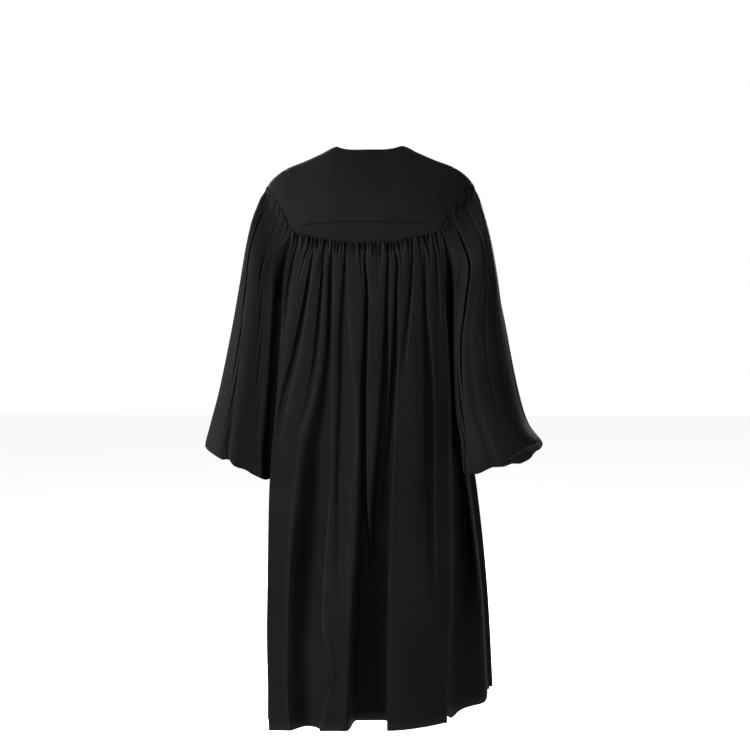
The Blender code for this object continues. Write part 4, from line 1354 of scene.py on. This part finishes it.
GOWN_CLOTH = cloth("gown_cloth", (0.0032, 0.0032, 0.0033, 1), (0.0054, 0.0054, 0.0056, 1), 0.56, 0.005)
YOKE_STUFF = cloth("yoke_cloth", (0.0033, 0.0033, 0.0034, 1), (0.0052, 0.0052, 0.0054, 1), 0.62, 0.005)
THREAD = cloth("thread", (0.005, 0.005, 0.0052, 1), (0.009, 0.009, 0.0094, 1), 0.50, 0.01)


# The robe

rng = np.random.default_rng(7708)
grids = {}


def add(
    name, points, thickness, material,
    side=1, closed=False, notch=None,
):
    worn = "body" in name or "cuff" in name
    piece = shell(name, points, thickness, material, side, closed, notch, worn)
    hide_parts(name.replace("cloth_", ""))
    grids[name] = points


add("cloth_yoke_back", yoke_back(), YOKE_CLOTH, YOKE_STUFF)
add("cloth_yoke_back_band", yoke_band(rng), YOKE_CLOTH, YOKE_STUFF)
for side, which in ((1, "left"), (-1, "right")):
    points, notch = yoke_side(side)
    add(
        "cloth_yoke_side_" + which, points, YOKE_CLOTH, YOKE_STUFF,
        side=-side, notch=notch,
    )
add(
    "cloth_body_back", gown_back(rng), CLOTH, GOWN_CLOTH,
)
for side, which in ((1, "left"), (-1, "right")):
    points = gown_front(side, rng)
    add(
        "cloth_body_front_" + which, points, CLOTH, GOWN_CLOTH,
        side=-side,
    )
for side, which, table, twist, bottom, cuff, folds, lifts in (
    (1, "left", LEFT_SLEEVE, LEFT_TWIST, LEFT_BOTTOM, LEFT_CUFF, LEFT_SLEEVE_FOLDS, LEFT_LIFTS),
    (-1, "right", RIGHT_SLEEVE, RIGHT_TWIST, RIGHT_BOTTOM, RIGHT_CUFF, RIGHT_SLEEVE_FOLDS, RIGHT_LIFTS),
):
    points = sleeve(side, table, twist, bottom, cuff, folds, lifts, rng)
    add(
        "cloth_sleeve_" + which, points, CLOTH, GOWN_CLOTH,
        closed=True,
    )
    add(
        "cloth_cuff_" + which, cuff_band(side, cuff), YOKE_CLOTH, YOKE_STUFF,
        closed=True,
    )


# Topstitching, in rows just inside the seams and edges

STITCH_PITCH = 0.0032
STITCH_LONG = 0.0022
STITCH_RADIUS = 0.00022
STITCH_CORNERS = 6
# Rings of a stitch: place along it by its length, size and lift by its radius
STITCH_RINGS = ((-0.5, 0.25, -0.4), (-0.3, 1.0, 0.6), (0.3, 1.0, 0.6), (0.5, 0.25, -0.4))


def sew(name, piece_name, rows, columns, side=1):
    """Stitches along part of a panel's grid, as one piece: each is a short thread on the cloth."""
    cloth_points = grids[piece_name]
    path = cloth_points[rows, columns].reshape(-1, 3)
    out = normals(cloth_points, side)[rows, columns].reshape(-1, 3)
    away = np.concatenate([[0], np.cumsum(np.linalg.norm(np.diff(path, axis=0), axis=1))])
    starts = np.arange(STITCH_PITCH, away[-1] - STITCH_PITCH, STITCH_PITCH)

    def at(values, place):
        return np.stack([np.interp(place, away, values[:, k]) for k in range(3)], axis=1)

    middle = at(path, starts)
    ahead = at(path, starts + STITCH_PITCH / 4) - at(path, starts - STITCH_PITCH / 4)
    ahead /= np.linalg.norm(ahead, axis=1, keepdims=True)
    up = at(out, starts)
    up /= np.linalg.norm(up, axis=1, keepdims=True)
    wide = np.cross(ahead, up)
    points, faces = [], []
    for n in range(len(starts)):
        base = len(points)
        for along, size, lift in STITCH_RINGS:
            centre = middle[n] + ahead[n] * along * STITCH_LONG + up[n] * lift * STITCH_RADIUS
            for k in range(STITCH_CORNERS):
                turn = 2 * math.pi * k / STITCH_CORNERS
                around = wide[n] * math.cos(turn) + up[n] * math.sin(turn)
                points.append(tuple(centre + STITCH_RADIUS * size * around))
        for ring in range(base, len(points) - STITCH_CORNERS, STITCH_CORNERS):
            for k in range(STITCH_CORNERS):
                a, b = ring + k, ring + (k + 1) % STITCH_CORNERS
                faces.append((a, b, b + STITCH_CORNERS, a + STITCH_CORNERS))
        faces.append(tuple(reversed(range(base, base + STITCH_CORNERS))))
        faces.append(tuple(range(len(points) - STITCH_CORNERS, len(points))))
    add_piece(name, points, faces, THREAD)


every = slice(None)
sew("stitch_yoke_slant_left", "cloth_yoke_back", slice(16, None), 1)
sew("stitch_yoke_slant_right", "cloth_yoke_back", slice(16, None), -2)
sew("stitch_yoke_low", "cloth_yoke_back", -2, every)
sew("stitch_neck_back", "cloth_yoke_back", 1, slice(43, 98))
for side, which in ((1, "left"), (-1, "right")):
    sew("stitch_neck_" + which, "cloth_yoke_side_" + which, slice(0, 54), 1, -side)
    sew("stitch_shoulder_" + which, "cloth_yoke_side_" + which, 52, slice(1, 46), -side)
    sew("stitch_front_" + which, "cloth_body_front_" + which, every, -3, -side)


# Camera, floor and lights

FLOOR_Z = -1.44
FLOOR_REACH = 30.0


def place_camera():
    """The photograph's view."""
    turn = math.radians(CAMERA_TURN)
    away = Vector((-math.sin(turn), math.cos(turn), 0))
    right = Vector((-math.cos(turn), -math.sin(turn), 0))
    data = bpy.data.cameras.new("camera")
    data.sensor_width = 36.0
    data.lens = 36.0 * FOCAL_PIXELS / PHOTO_SIZE
    data.clip_end = 60.0
    camera = put("camera", data)
    camera.location = Vector((0, 0, CAMERA_Z)) + away * CAMERA_AWAY + right * CAMERA_SIDE
    camera.rotation_euler = (-away).to_track_quat("-Z", "Y").to_euler()
    bpy.context.scene.camera = camera


def place_floor():
    """A plain pale floor."""
    corners = ((-1, -1), (1, -1), (1, 1), (-1, 1))
    points = [(x * FLOOR_REACH, y * FLOOR_REACH, FLOOR_Z) for x, y in corners]
    mesh = bpy.data.meshes.new("floor")
    mesh.from_pydata(points, [], [(0, 1, 2, 3)])
    material = bpy.data.materials.new("floor_paint")
    material.use_nodes = True
    shader = material.node_tree.nodes["Principled BSDF"]
    shader.inputs["Base Color"].default_value = (0.94, 0.94, 0.94, 1)
    shader.inputs["Roughness"].default_value = 0.8
    shader.inputs["Specular IOR Level"].default_value = 0.0
    mesh.materials.append(material)
    floor = put("floor", mesh)


def place_light(name, where, aim, power, size):
    """A soft square light."""
    data = bpy.data.lights.new(name, "AREA")
    data.energy = power
    data.size = size
    light = put(name, data)
    light.location = where
    light.rotation_euler = (Vector(aim) - Vector(where)).to_track_quat("-Z", "Y").to_euler()


world = bpy.data.worlds.new("studio")
world.use_nodes = True
world.node_tree.nodes["Background"].inputs["Color"].default_value = (1.0, 1.0, 1.0, 1)
world.node_tree.nodes["Background"].inputs["Strength"].default_value = 1.0
bpy.context.scene.world = world
bpy.context.scene.view_settings.view_transform = "Standard"
place_camera()
place_floor()
place_light("key", (2.5, 3.0, 0.9), (0, 0, -0.5), 340.0, 1.2)
place_light("fill", (-0.6, 4.0, 0.9), (0, 0, -0.6), 14.0, 2.0)
place_light("side", (4.0, 0.2, -0.2), (0, 0, -0.6), 420.0, 0.8)
place_light("front", (1.6, -3.4, 1.0), (0, 0, -0.5), 200.0, 1.2)
place_light("right", (-1.5, -3.9, 0.8), (0, 0, -0.6), 130.0, 0.8)
